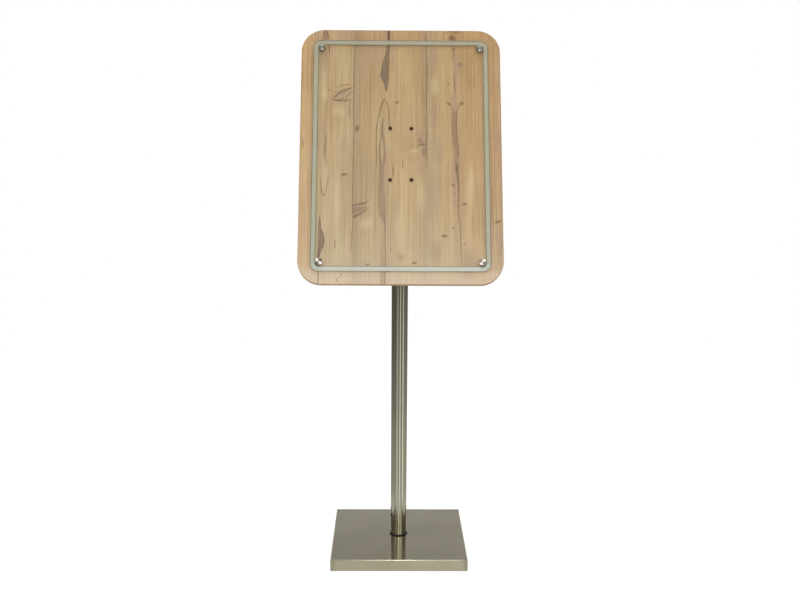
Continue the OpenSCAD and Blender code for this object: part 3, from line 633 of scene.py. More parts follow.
# The decor's marks in board millimetres, each kind with its tone, how strongly it covers the planks, and where its edge
# starts and ends in shares of a mark's half width. Ovals are (right, up, half width, half height, tilt in degrees);
# upward trails are lists of (up, right, half width) and crossing trails lists of (right, up, half height), low to high
woodMarks = {
    "pale": {"colour": "d6bf98", "strength": 0.34, "soft": (0.1, 1.25), "ovals": [
        (-186, 134, 24, 20), (-100, -214, 24, 22), (40, 10, 18, 10), (-165, -380, 24, 12), (-226, 190, 12, 30),
        (-225, -60, 12, 70), (-190, -150, 16, 110), (0, -225, 20, 80), (60, -130, 16, 60), (206, -100, 14, 70),
        (-285, -60, 8, 160), (100, 215, 16, 40),
    ]},
    "haze": {"colour": "a1836a", "strength": 0.62, "soft": (0.1, 1.25), "ovals": [
        (-133, 150, 12, 200), (-133, -200, 11, 190), (-128, 270, 20, 80), (97, 302, 21, 42), (97, 130, 20, 20),
        (92, 98, 18, 14), (158, -60, 10, 50), (-85, 320, 30, 60), (-120, -170, 24, 26), (-176, 182, 26, 22),
        (-228, 300, 14, 46), (62, 42, 18, 26), (98, -125, 24, 110), (102, -300, 20, 50), (-160, -66, 14, 8),
        (71, 320, 10, 60), (71, 230, 6, 50), (288, -280, 15, 90), (196, -330, 30, 50), (290, 50, 8, 60),
        (-221, -20, 9, 26), (-60, 350, 12, 40), (-160, 380, 40, 16), (-170, 30, 14, 40), (70, 385, 9, 30),
        (112, 0, 22, 60), (0, -314, 14, 16),
    ], "upward": [
        [(185, 165, 6), (230, 165, 9), (290, 166, 11), (325, 161, 7), (345, 160, 5)],
        [(120, 162, 6), (140, 162, 9), (160, 162, 14), (180, 163, 10), (200, 164, 7)],
        [(-205, -44, 4), (-180, -43, 5), (-60, -43, 5), (-25, -42, 4)],
        [(-440, -52, 9), (-395, -52, 9), (-300, -52, 9), (-240, -52, 9), (-195, -54, 10), (-170, -56, 5)],
        [(240, -18, 3), (300, -22, 8), (345, -24, 7), (368, -24, 1)],
        [(355, -48, 10), (375, -48, 11), (440, -47, 11)],
        [(-190, 160, 4), (-120, 158, 7), (-60, 160, 8), (-20, 161, 7), (10, 160, 3)],
        [(-270, 180, 3), (-220, 181, 6), (-170, 184, 6), (-145, 186, 3)],
    ]},
    "streak": {"colour": "8a6a54", "strength": 0.86, "soft": (0.45, 1.25), "ovals": [
        (70, 6, 7, 20), (177, 285, 8, 8), (-229, 380, 7, 16), (64, 34, 12, 8, 10), (177, 284, 7, 10, -25),
        (-229, 377, 8, 19), (58, 44, 7, 10), (66, 31, 9, 4),
    ], "upward": [
        [(-214, -49, 3), (-196, -51, 7), (-180, -54, 11), (-150, -56, 12), (-100, -58, 10.5), (-60, -58, 9.5),
         (-32, -58, 9), (-15, -62, 4), (10, -63, 2.4), (40, -61, 2.6), (60, -57, 3.6), (85, -54, 3.5), (114, -52, 1)],
        [(-42, -52, 4), (-20, -49, 5), (0, -47, 3.8), (25, -48, 3.4), (50, -51, 5), (70, -54, 4), (84, -54, 1)],
        [(-440, -44, 1.8), (-395, -44, 1.8), (-300, -44, 1.6), (-240, -45, 2), (-200, -47, 4), (-178, -50, 3)],
        [(-8, 169, 3), (5, 167, 4), (30, 164, 4.6), (60, 161, 6), (100, 160, 6.4), (126, 161, 5.5), (142, 161, 3)],
        [(-346, 176, 1), (-300, 175, 1.7), (-250, 174, 1.9), (-200, 172, 2.6), (-150, 169.5, 3.4), (-110, 169, 3.4),
         (-70, 168, 3.6), (-50, 167, 4.6), (-20, 167, 5.8), (0, 166, 5), (18, 165, 2)],
        [(-22, -224, 2), (0, -224, 3.4), (30, -223, 4.4), (55, -222, 2.4), (70, -222, 1)],
    ], "crossing": [
        [(-144, -172, 10), (-141, -172, 13), (-126, -170, 9.5), (-110, -168, 5.5), (-97, -164, 2)],
        [(-206, 171, 2), (-196, 180, 4.5), (-184, 191, 6.5), (-170, 199, 6.5), (-152, 207, 3.6), (-141, 212, 1)],
        [(-206, 168, 1.5), (-190, 168, 4), (-172, 171, 6), (-156, 173, 3.4), (-146, 175, 1)],
        [(-168, 179, 1.5), (-158, 187, 4.6), (-149, 195, 3.6), (-142, 200, 1)],
        [(-143, -160, 3), (-136, -158, 5), (-122, -154, 4.5), (-106, -153, 3.4), (-96, -146, 1.4)],
        [(-143, -192, 4), (-136, -189, 6), (-124, -184, 5), (-110, -177, 3), (-98, -169, 1)],
    ]},
    "core": {"colour": "6c523f", "strength": 0.92, "soft": (0.72, 1.12), "upward": [
        [(195, -44, 2), (205, -44, 3.6), (220, -45, 6), (236, -47.5, 9), (250, -49.5, 13), (270, -47.5, 11.5),
         (300, -43, 9), (330, -39.5, 6), (360, -38, 4.4), (396, -37, 4.6), (440, -37, 4.4)],
        [(-348, -238, 2), (-320, -238, 3), (-300, -236, 4.6), (-285, -233.5, 7), (-262, -231.5, 8.6),
         (-245, -232, 7.5), (-230, -235, 4.2), (-205, -237, 2.6), (-186, -237, 1)],
        [(-128, 169, 1), (-90, 168.5, 2.2), (-62, 167.5, 3), (-46, 167, 4), (-30, 168, 2)],
    ]},
    "dark": {"colour": "684826", "strength": 0.86, "soft": (0.25, 1.9), "ovals": [
        (160, 335, 3.6, 4.4), (154, 371, 9, 6), (160, 366, 8, 5), (144, 158, 4.6, 4, 10), (182, 159, 5.4, 4.6),
        (-216, 202, 2.4, 2.4), (-22, -52, 1.9, 16), (7, -30, 1.5, 17), (-190, -273, 1.5, 13), (-131, 82, 5, 7.5, -20),
        (-11, 163, 5.4, 4.2, 30), (-168, -64, 7, 3.2, -10), (154, -94, 4.2, 3.2), (157, -118, 1.8, 1.8),
        (188, -153, 6.5, 3.4, 20), (128, -249, 8, 4), (154, -224, 3.4, 1.8, -20), (184, -275, 4, 1.6),
        (39, -333, 6.5, 3.2), (-30, -292, 2.2, 2), (-95, -337, 5, 1.6, 10), (143, 221, 1.4, 3.4),
        (285, -205, 8, 3.6, 10), (-290, 34, 1.5, 12, 10), (168, 388, 6, 2, 20),
    ], "upward": [
        [(196, -46, 0.3), (215, -41, 1.2), (250, -37.5, 1.2), (300, -36, 1.1), (345, -35, 0.8)],
        [(-60, -74, 0.2), (0, -73, 1.0), (60, -72, 1.2), (95, -70, 1.4), (122, -66, 1.5), (150, -59, 1.7),
         (168, -53, 1.7), (174, -51, 0.3)],
        [(60, -33, 0.2), (85, -34, 1.2), (110, -35, 1.4), (140, -38, 1.5), (160, -44, 1.7), (170, -50, 1.5),
         (174, -52, 0.3)],
        [(60, -57, 0.3), (80, -54, 1.3), (114, -51, 0.3)],
        [(358, -37, 2), (366, -37, 2.6), (385, -37, 3), (440, -37, 3)],
        [(-40, -58, 0.3), (-10, -62.5, 0.9), (20, -64.5, 1), (50, -62, 0.3)],
        [(290, 160, 0.3), (305, 160, 1), (322, 160, 1), (332, 159, 0.3)],
        [(185, 160, 0.3), (200, 163, 1.3), (225, 163, 1.2), (245, 162, 1.1), (265, 162, 0.3)],
        [(0, 156, 0.3), (30, 156, 0.9), (60, 155, 1.0), (100, 154, 1.0), (132, 154, 1.2), (150, 151, 1)],
        [(-10, 173, 0.3), (5, 172, 1.3), (30, 169.5, 1.3), (60, 167.5, 1.2), (100, 166, 1.1), (125, 167, 1.4),
         (150, 174, 1)],
        [(-62, 165, 0.3), (-52, 166, 1.6), (-38, 168.5, 1.8), (-26, 170, 0.5)],
        [(106, -152, 0.3), (135, -153, 0.9), (168, -151, 0.9), (180, -150, 0.4)],
        [(-124, -227, 0.6), (-120, -233, 1.1), (-100, -236, 0.9), (-60, -237, 0.3)],
        [(-124, -228, 0.6), (-117, -220, 1.1), (-95, -215, 0.9), (-58, -212, 0.3)],
        [(-335, -239, 0.4), (-300, -240, 1.1), (-240, -240, 1.1), (-200, -238, 0.8), (-183, -237, 0.3)],
        [(362, -239, 0.4), (380, -236, 1.2), (392, -231, 1.3), (402, -228, 0.5)],
        [(300, -216, 0.3), (340, -217, 1.2), (362, -219, 1.6), (385, -222, 1.8), (402, -229, 0.5)],
        [(-440, -239, 0.6), (-394, -238, 1.1), (-375, -237, 1.2), (-350, -239, 0.3)],
        [(-391, -170, 0.3), (-380, -187, 0.9), (-368, -172, 0.9), (-356, -190, 0.3)],
        [(-60, 78, 0.2), (0, 78, 1.0), (60, 77, 1.3), (200, 78, 1.4), (340, 78, 0.9), (395, 78, 0.3)],
        [(-330, -141, 0.3), (-230, -141, 1.2), (-100, -141, 1.2), (60, -140, 1.0), (200, -141, 1.2), (395, -142, 0.3)],
    ], "crossing": [
        [(134, 165, 0.3), (140, 161, 1.8), (147, 157, 2.0), (152, 152, 1.7), (156, 140, 1.3), (160, 130, 0.4)],
        [(143, 160, 0.4), (150, 168, 1.2), (156, 178, 1), (160, 190, 0.4)],
        [(166, 128, 0.4), (170, 145, 1.7), (176, 155, 1.9), (184, 161, 1.9), (191, 166, 0.4)],
        [(132, 385, 0.3), (143, 391, 1.2), (155, 390, 1), (168, 394, 1.2), (177, 388, 0.4)],
        [(-208, 168, 0.3), (-198, 177, 1.2), (-186, 192, 1.6), (-170, 203, 1.7), (-152, 209, 1.3), (-140, 213, 0.4)],
        [(-192, 206, 0.3), (-180, 214, 1.2), (-165, 219, 1.2), (-150, 220, 0.4)],
        [(-236, -110, 0.3), (-226, -127, 1.6), (-216, -110, 0.3)],
        [(-164, 182, 0.3), (-154, 189, 1.0), (-147, 196, 1.0), (-141, 200, 0.3)],
        [(-208, 169, 0.4), (-195, 167, 1.2), (-175, 166, 1.2), (-156, 170, 0.8), (-147, 172, 0.3)],
        [(-143, -162, 0.4), (-138, -158, 1.8), (-122, -152, 1.8), (-106, -152, 1.6), (-95, -144, 1.4),
         (-90, -132, 1.1), (-87, -116, 0.4)],
        [(-143, -193, 0.4), (-138, -190, 2.0), (-124, -186, 1.9), (-110, -179, 1.4), (-98, -170, 0.9),
         (-90, -160, 0.3)],
        [(44, 25, 0.3), (54, 28, 1.6), (66, 29, 1.8), (74, 28, 1.6), (80, 28, 0.4)],
    ]},
}
# Planks of the decor: the board millimetre where each tone is reached; two close ones are a glued seam
woodPlanks = [
    (-300, "c8a77c"), (-276, "c3a479"), (-252, "bca482"), (-213, "bfa480"), (-170, "bca480"), (-144, "b99c78"),
    (-141, "a8916f"), (-112, "b59973"), (-30, "bca17a"), (10, "c0a27a"), (45, "bc9f77"), (75, "ac8f6c"),
    (79, "b19a78"), (135, "c0a277"), (165, "b5976f"), (210, "bf9b6e"), (300, "b69872"),
]
# Painted sheen: how far the decor is lightened towards the foot of the board, by its height in board millimetres
woodPaintedSheen = [
    (-395, 0.43), (-362, 0.39), (-345, 0.24), (-300, 0.18), (-200, 0.11), (0, 0.05), (345, 0.0), (395, 0.0)]
# Patterns of the print: repeats to the millimetre across and along the grain, then the noise's detail and roughness
woodPatterns = {
    "bends": ((0.022, 0.009, 0), 1.0, 0.5), "tremor": ((0.22, 0.10, 0), 2.0, 0.5),
    "stripes": ((0.21, 0.0030, 0), 3.0, 0.62), "pores": ((1.3, 0.02, 0), 2.0, 0.6),
    "clouds": ((0.014, 0.006, 0), 3.0, 0.5),
}
woodWander = {"bends": (9, 14, 0), "tremor": (3.0, 5.0, 0)}  # how many millimetres they shift the marks
woodPrint = {
    "halfWidth": 300, "halfHeight": 395,  # of the board
    "stripeShare": 0.65, "poreShare": 0.35,  # what stripes and pores each add to the grain
    "leastWidth": 0.02,  # of a trail where it runs out
    "pushAside": (0.8, 0, 0),  # how far the grain bends round a mark
}


def woodDecor(name, upsideDown=False, marked=True):
    # Decor laminate printed as old larch boards, matt and lightly embossed: the print carries the grain
    material, tree, shader, point = newMaterial(name, Specular_IOR_Level=0.42)
    spin = math.radians(180 if upsideDown else 0)
    place = placeOnBoard(tree, point)
    place = addNode(tree, "ShaderNodeMapping", {"Vector": place, "Rotation": (0, 0, spin)}, vector_type="POINT")
    if not marked:  # the edge band: its strip of decor runs round the edge, so depth stands for width
        parts = addNode(tree, "ShaderNodeSeparateXYZ", {0: place}).node.outputs
        around = addNode(tree, "ShaderNodeMath", {0: parts[0], 1: parts[1]}, operation="ADD")
        place = addNode(tree, "ShaderNodeCombineXYZ", {0: parts[2], 1: around})
    flat = addNode(tree, "ShaderNodeVectorMath", {0: place, 1: (1, 1, 0)}, operation="MULTIPLY")

    drawn = {}
    for pattern, (scale, detail, roughness) in woodPatterns.items():
        stretched = addNode(tree, "ShaderNodeVectorMath", {0: flat, 1: scale}, operation="MULTIPLY")
        drawn[pattern] = addNode(tree, "ShaderNodeTexNoise", {
            "Vector": stretched, "Scale": 1.0, "Detail": detail, "Roughness": roughness}).node.outputs

    # The grain wanders: broad bends first, then a fine tremor
    shifts = {}
    for pattern in ("bends", "tremor"):
        shifts[pattern] = addNode(tree, "ShaderNodeVectorMath", {
            0: drawn[pattern]["Color"], 1: (0.5, 0.5, 0.5)}, operation="SUBTRACT")
    wandered = flat
    for pattern, shift in shifts.items():
        wandered = addNode(tree, "ShaderNodeVectorMath", {
            0: shift, 1: woodWander[pattern], 2: wandered}, operation="MULTIPLY_ADD")

    right = addNode(tree, "ShaderNodeSeparateXYZ", {0: flat}).node.outputs[0]
    half = woodPrint["halfWidth"]
    across = addNode(tree, "ShaderNodeMapRange", {"Value": right, "From Min": -half, "From Max": half})
    plank = addNode(tree, "ShaderNodeValToRGB", {"Fac": across})
    if marked:
        setStops(plank, [((u + half) / (2 * half), tone) for u, tone in woodPlanks])
    else:
        setStops(plank, [(0.0, "a98b66"), (1.0, "b2936c")])

    # Year rings show as pinstripes about 5 mm apart, with finer pores between them
    stripes, pores, clouds = (drawn[pattern]["Fac"] for pattern in ("stripes", "pores", "clouds"))
    grain = 0.0
    for pattern, amount in ((stripes, woodPrint["stripeShare"]), (pores, woodPrint["poreShare"])):
        grain = addNode(tree, "ShaderNodeMath", {0: pattern, 1: amount, 2: grain}, operation="MULTIPLY_ADD")
    grainTone = setStops(addNode(tree, "ShaderNodeValToRGB", {"Fac": grain}), [
        (0.36, "d4c4aa"), (0.50, "f4efe5"), (0.60, "ffffff")])
    cloudTone = setStops(addNode(tree, "ShaderNodeValToRGB", {"Fac": clouds}), [
        (0.32, "eee8e0"), (0.50, "f9f6f1"), (0.68, "ffffff")])
    colour = plank
    for tone in (grainTone, cloudTone):
        colour = addNode(tree, "ShaderNodeMix", {
            0: 1.0, 6: colour, 7: tone}, data_type="RGBA", blend_type="MULTIPLY")

    # Painted sheen: the decor is mixed towards a pale tone near the board's foot
    if marked:
        up = addNode(tree, "ShaderNodeSeparateXYZ", {0: flat}).node.outputs[1]
        half = woodPrint["halfHeight"]
        share = addNode(tree, "ShaderNodeMapRange", {"Value": up, "From Min": -half, "From Max": half})
        paintedSheen = setStops(addNode(tree, "ShaderNodeValToRGB", {"Fac": share}), [
            ((v + half) / (2 * half), pale) for v, pale in woodPaintedSheen])
        colour = addNode(tree, "ShaderNodeMix", {
            0: paintedSheen, 6: colour, 7: linearColour("e9dcc8")}, data_type="RGBA")

    def trail(along, aside, points):
        # How far a point is from a trail's middle line, in half widths. Two curves give the line and the width along
        # it, which runs out to nothing at both ends; a curve holds values from 0 to 1, so both are shares of one span
        points = [(*points[0][:2], 0.0), *points[1:-1], (*points[-1][:2], 0.0)]
        low, high = points[0][0], points[-1][0]
        least = min(p[1] for p in points) - 1
        span = max(max(p[1] for p in points) + 1 - least, 4 * max(p[2] for p in points))
        share = addNode(tree, "ShaderNodeMapRange", {"Value": along, "From Min": low, "From Max": high})
        read = []
        for values in ([(p[1] - least) / span for p in points], [p[2] / span for p in points]):
            curve = addNode(tree, "ShaderNodeFloatCurve", {"Value": share})
            line = curve.node.mapping.curves[0]
            spots = [(p[0] - low) / (high - low) for p in points]
            for spot, value in zip(spots[1:-1], values[1:-1]):
                line.points.new(spot, value)
            line.points[0].location = (0.0, values[0])
            line.points[len(line.points) - 1].location = (1.0, values[-1])
            for point in line.points:
                point.handle_type = "AUTO_CLAMPED"
            curve.node.mapping.update()
            read.append(curve)
        middle = addNode(tree, "ShaderNodeMath", {0: read[0], 1: span, 2: least}, operation="MULTIPLY_ADD")
        width = addNode(tree, "ShaderNodeMath", {
            0: read[1], 1: span, 2: woodPrint["leastWidth"]}, operation="MULTIPLY_ADD")
        off = addNode(tree, "ShaderNodeMath", {0: aside, 1: middle}, operation="SUBTRACT")
        size = addNode(tree, "ShaderNodeMath", {0: off}, operation="ABSOLUTE")
        return addNode(tree, "ShaderNodeMath", {0: size, 1: width}, operation="DIVIDE")

    def oval(u, v, halfWidth, halfHeight, tilt=0):
        local = addNode(tree, "ShaderNodeMapping", {
            "Vector": wandered, "Location": (u, v, 0), "Rotation": (0, 0, math.radians(tilt)),
            "Scale": (halfWidth, halfHeight, 1)}, vector_type="TEXTURE")
        return addNode(tree, "ShaderNodeVectorMath", {0: local}, operation="LENGTH")

    for look in woodMarks.values() if marked else ():
        places = addNode(tree, "ShaderNodeSeparateXYZ", {0: wandered}).node.outputs
        marks = [(oval, mark) for mark in look.get("ovals", ())]
        marks += [(trail, (places[1], places[0], points)) for points in look.get("upward", ())]
        marks += [(trail, (places[0], places[1], points)) for points in look.get("crossing", ())]
        nearest = None
        for draw, given in marks:
            reach = draw(*given)
            nearest = reach if nearest is None else addNode(
                tree, "ShaderNodeMath", {0: nearest, 1: reach}, operation="MINIMUM")
        mask = addNode(tree, "ShaderNodeMapRange", {
            "Value": nearest, "From Min": look["soft"][1], "From Max": look["soft"][0],
            "To Min": 0.0, "To Max": look["strength"]}, interpolation_type="SMOOTHSTEP")
        streaky = addNode(tree, "ShaderNodeMapRange", {
            "Value": stripes, "From Min": 0.30, "From Max": 0.70, "To Min": 1.15, "To Max": 0.75})
        mask = addNode(tree, "ShaderNodeMath", {0: mask, 1: streaky}, operation="MULTIPLY")
        colour = addNode(tree, "ShaderNodeMix", {
            0: mask, 6: colour, 7: linearColour(look["colour"])}, data_type="RGBA")
        push = addNode(tree, "ShaderNodeCombineXYZ", {"X": mask})  # the grain bends a little round each mark
        wandered = addNode(tree, "ShaderNodeVectorMath", {
            0: push, 1: woodPrint["pushAside"], 2: wandered}, operation="MULTIPLY_ADD")
    rough = addNode(tree, "ShaderNodeMapRange", {
        "Value": grain, "From Min": 0.3, "From Max": 0.7, "To Min": 0.54, "To Max": 0.44})
    bump = addNode(tree, "ShaderNodeBump", {"Height": grain, "Strength": 0.12, "Distance": 0.12 * mm})
    feedShader(tree, shader, Base_Color=colour, Roughness=rough, Normal=bump)
    return material


def clearAcrylic():
    # Cast acrylic sheet: clear, IOR 1.49, with finely sanded edges that scatter; light passes it without a hard shadow
    material, tree, shader, point = newMaterial("clearCastAcrylic", IOR=1.49, Transmission_Weight=1.0)
    haze = addNode(tree, "ShaderNodeTexNoise", {"Vector": point, "Scale": 9.0, "Detail": 2.0})
    tone = setStops(addNode(tree, "ShaderNodeValToRGB", {"Fac": haze}), [(0.3, "fafcf9"), (0.7, "fefffd")])
    lean = math.radians(stand["lean"])
    normal = addNode(tree, "ShaderNodeTexCoord").node.outputs["Normal"]
    facing = addNode(tree, "ShaderNodeVectorMath", {
        0: normal, 1: (0, -math.cos(lean), math.sin(lean))}, operation="DOT_PRODUCT")
    flatness = addNode(tree, "ShaderNodeMath", {0: facing}, operation="ABSOLUTE")
    edgeRough = addNode(tree, "ShaderNodeMapRange", {
        "Value": flatness, "From Min": 0.96, "From Max": 0.80, "To Min": 0.0, "To Max": 0.45})
    rough = addNode(tree, "ShaderNodeMath", {0: haze, 1: 0.02, 2: edgeRough}, operation="MULTIPLY_ADD")
    feedShader(tree, shader, Base_Color=tone, Roughness=rough)
    passing = addNode(tree, "ShaderNodeBsdfTransparent", {"Color": linearColour("fdfefc")})
    path = addNode(tree, "ShaderNodeLightPath").node.outputs
    surface = addNode(tree, "ShaderNodeMixShader", {0: path["Is Diffuse Ray"], 1: shader.outputs[0], 2: passing})
    surface = addNode(tree, "ShaderNodeMixShader", {0: path["Is Shadow Ray"], 1: surface, 2: passing})
    showSurface(tree, surface)
    return material


def frostedFilm():
    # Sage-green frosted vinyl film on the cover's back, matt. Its tone carries painted sheen: lighter towards the foot
    # of the board
    material, tree, shader, point = newMaterial("frostedSageFilm", Specular_IOR_Level=0.4)
    place = placeOnBoard(tree, point)
    up = addNode(tree, "ShaderNodeSeparateXYZ", {0: place}).node.outputs[1]
    height = addNode(tree, "ShaderNodeMapRange", {
        "Value": up, "From Min": -cover["height"] / 2, "From Max": cover["height"] / 2})
    # Painted sheen: the tone lightens down the cover, and most along its bottom band
    tone = setStops(addNode(tree, "ShaderNodeValToRGB", {"Fac": height}), [
        (0.0, "cacbc6"), (0.022, "c7c8c2"), (0.04, "b0ad9d"), (0.5, "aaa693"), (0.97, "a8a08d"), (1.0, "a39a88")])
    frost = addNode(tree, "ShaderNodeTexNoise", {"Vector": place, "Scale": 0.7, "Detail": 3.0})
    grain = setStops(addNode(tree, "ShaderNodeValToRGB", {"Fac": frost}), [(0.3, "f3f5f0"), (0.7, "ffffff")])
    colour = addNode(tree, "ShaderNodeMix", {
        0: 1.0, 6: tone, 7: grain}, data_type="RGBA", blend_type="MULTIPLY")
    # Painted shade: thin dark lines at the film's outer and inner edges stand for the shadows of the cover's edges on
    # the board behind. The distance from the cover's rounded outline picks them out
    size = addNode(tree, "ShaderNodeVectorMath", {0: place}, operation="ABSOLUTE")
    straight = (cover["width"] / 2 - cover["corner"], cover["height"] / 2 - cover["corner"], 1000)
    beyond = addNode(tree, "ShaderNodeVectorMath", {0: size, 1: straight}, operation="SUBTRACT")
    beyond = addNode(tree, "ShaderNodeVectorMath", {0: beyond, 1: (0, 0, 0)}, operation="MAXIMUM")
    out = addNode(tree, "ShaderNodeVectorMath", {0: beyond}, operation="LENGTH")
    inset = addNode(tree, "ShaderNodeMapRange", {
        "Value": out, "From Min": cover["corner"], "From Max": cover["corner"] - cover["border"]})
    rim = setStops(addNode(tree, "ShaderNodeValToRGB", {"Fac": inset}), [
        (0.0, 0.95), (0.08, 0.95), (0.13, 0.0), (0.87, 0.0), (0.92, 0.9), (1.0, 0.9)])
    # The painted edge shade is mixed in here
    colour = addNode(tree, "ShaderNodeMix", {
        0: rim, 6: colour, 7: linearColour("5f5440")}, data_type="RGBA")
    rough = addNode(tree, "ShaderNodeMapRange", {"Value": frost, "To Min": 0.5, "To Max": 0.7})
    feedShader(tree, shader, Base_Color=colour, Roughness=rough)
    # It lets most light through
    passing = addNode(tree, "ShaderNodeBsdfTransparent", {"Color": linearColour("d9dcd4")})
    path = addNode(tree, "ShaderNodeLightPath").node.outputs
    surface = addNode(tree, "ShaderNodeMixShader", {0: path["Is Shadow Ray"], 1: shader.outputs[0], 2: passing})
    showSurface(tree, surface)
    return material


frontWood = woodDecor("oldLarchLaminate")
backWood = woodDecor("oldLarchLaminateBack", upsideDown=True)
edgeWood = woodDecor("oldLarchEdgeBand", marked=False)
acrylic = clearAcrylic()
film = frostedFilm()
boardFibre = grainyCoat("mediumDensityFibreboard", ("a58a5f", "c0a67a"), 0.85, 1.6, 0.3, 0.2)
print("stage: board and cover materials")


# Base: folded stainless cover, weight, pad, posts and spigot

base = {
    "side": 416.0, "top": 37.0, "foot": 1.0, "sheet": 1.5, "fold": 2.5, "cornerWeld": 0.8, "innerCorner": 0.3,
    "edgeBreak": 0.3, "hole": 24.25, "holeEase": 0.4, "flatFrom": 0.8, "foldSteps": 7, "sideSteps": 20,
    "cornerSteps": 4,
}


def squareRing(inset, height, corner):
    # Points round a square, spaced evenly as seen from its middle, with a small round at each corner
    half = base["side"] / 2 - inset
    points = []
    for quarter in range(4):
        side = []
        limit = math.degrees(math.atan2(half - corner, half))
        for i in range(base["sideSteps"] + 1):
            angle = math.radians(-limit + 2 * limit * i / base["sideSteps"])
            side.append((half, half * math.tan(angle)))
        for angle in quarterTurn(base["cornerSteps"])[1:-1]:
            side.append((half - corner + corner * math.cos(angle), half - corner + corner * math.sin(angle)))
        turn = math.radians(90 * quarter)
        points += [
            (x * math.cos(turn) - y * math.sin(turn), x * math.sin(turn) + y * math.cos(turn), height) for x, y in side]
    return points


def holeRing(radius, height):
    # A circle with a point for each point of the square, in the same direction
    square = squareRing(0, 0, base["cornerWeld"])
    return [(radius * x / math.hypot(x, y), radius * y / math.hypot(x, y), height) for x, y, z in square]


def foldRings(inset, top, fold, corner):
    return [
        squareRing(inset + fold * (1 - math.cos(angle)), top - fold + fold * math.sin(angle), corner)
        for angle in quarterTurn(base["foldSteps"])]


def coverRings():
    # The shell's section from its foot up the outside, over the top, down the hole and back inside
    foot, top, fold, sheet, hole = (base[key] for key in ("foot", "top", "fold", "sheet", "hole"))
    corner, innerCorner, flat, ease = (base[key] for key in ("cornerWeld", "innerCorner", "flatFrom", "holeEase"))
    footEdge = foot + base["edgeBreak"]
    return [
        squareRing(base["edgeBreak"], foot, corner), squareRing(0, footEdge, corner),
        squareRing(0, footEdge + flat, corner), squareRing(0, top - fold - flat, corner),
        *foldRings(0, top, fold, corner),
        squareRing(fold + flat, top, corner),
        holeRing(hole + ease + flat, top), holeRing(hole + ease, top), holeRing(hole, top - ease),
        holeRing(hole, top - sheet),
        *reversed(foldRings(sheet, top - sheet, fold - sheet, innerCorner)),
        squareRing(sheet, foot, innerCorner),
    ]


addPiece("baseCover", loftMesh("baseCover", coverRings(), onFloor), baseSteel, "stand", "stainless", "base_cover")

addPiece("steelWeight", softenedCopy("base_weight"), rolledSteel, "stand", "raw_plate", "base_weight")
addPiece("floorPad", softenedCopy("base_pad"), blackRubber, "stand", "black_rubber", "base_pad")
addPiece("poleSpigot", softenedCopy("pole_spigot"), zincSteel, "stand", "plain_steel", "pole_spigot")

posts = {
    "spacing": 330.0, "radius": 8.0, "low": 14.0, "high": 35.5, "bore": 3.05, "boreTop": 26.5, "drillPoint": 1.2,
    "boreEase": 0.5, "chamfer": 0.8, "sides": 40,
}


def postMesh():
    # A turned post with a blind bore from below
    low, high, radius, bore = (posts[key] for key in ("low", "high", "radius", "bore"))
    chamfer, ease, boreTop = (posts[key] for key in ("chamfer", "boreEase", "boreTop"))
    return turnedMesh("postOne", [
        (bore + ease, low), (radius - chamfer, low), (radius, low + chamfer), (radius, high - chamfer),
        (radius - chamfer, high), (0, high), (0, boreTop), (bore, boreTop - posts["drillPoint"]), (bore, low + ease),
    ], None, posts["sides"])


postSpread = {"Spacing Across": posts["spacing"], "Spacing Up": posts["spacing"]}
addRepeated(
    "coverPosts", postMesh(), onFloor, postSpread, zincSteel, "stand", "plain_steel", "cover_posts")


# Screws, bolts and nuts: each is drawn once, then repeated

screwForm = {
    "tip": 0.6,             # the shank's tip is chamfered by this much
    "threadGap": 0.1,       # and the thread starts this far above the chamfer
    "headEdge": 0.2,        # eased edge round the head's under face
    "domeFoot": 0.35,       # height of the head's wall under its dome
    "domeDegrees": (0, 14, 28, 42, 56),
    "headChamfer": 0.6,     # of a head without a dome
    "crownSink": 0.12,      # how far a domed head's crown is cut down to its socket
    "socketMouth": 0.62,    # radius of the socket's round mouth, in shares of its flats
    "socketEase": 0.25,
    "socketFloor": 0.45,    # height of the socket's floor, in shares of the head's
    "drillPoint": 0.3,
}
nutForm = {
    "chamfer": ((0.0, 0.95), (0.25, 1.03), (0.5, 1.09), (0.75, 1.17)),  # height, radius in shares of half the flats
    "boreEase": 0.5,
}
fullTurn = 48  # points of a ring


def hexReach(angle, flats):
    # Distance from the axis to a hexagon's side in this direction, for the width across its flats
    return flats / 2 / math.cos((angle % (math.pi / 3)) - math.pi / 6)


def ringOf(reachAt, height):
    # A ring whose distance from the axis is given by its direction
    angles = [2 * math.pi * i / fullTurn for i in range(fullTurn)]
    return [(reachAt(a) * math.cos(a), reachAt(a) * math.sin(a), height) for a in angles]


def roundRing(radius, height):
    return ringOf(lambda angle: radius, height)


def hexRing(flats, height):
    return ringOf(lambda angle: hexReach(angle, flats), height)


def threadProfile(radius, low, high, pitch, depth):
    # Ridges of a screw thread, drawn as close rings
    points = []
    height = low
    while height + pitch <= high + 0.001:
        points += [(radius - depth, height), (radius, height + pitch / 2)]
        height += pitch
    return points + [(radius, high)]


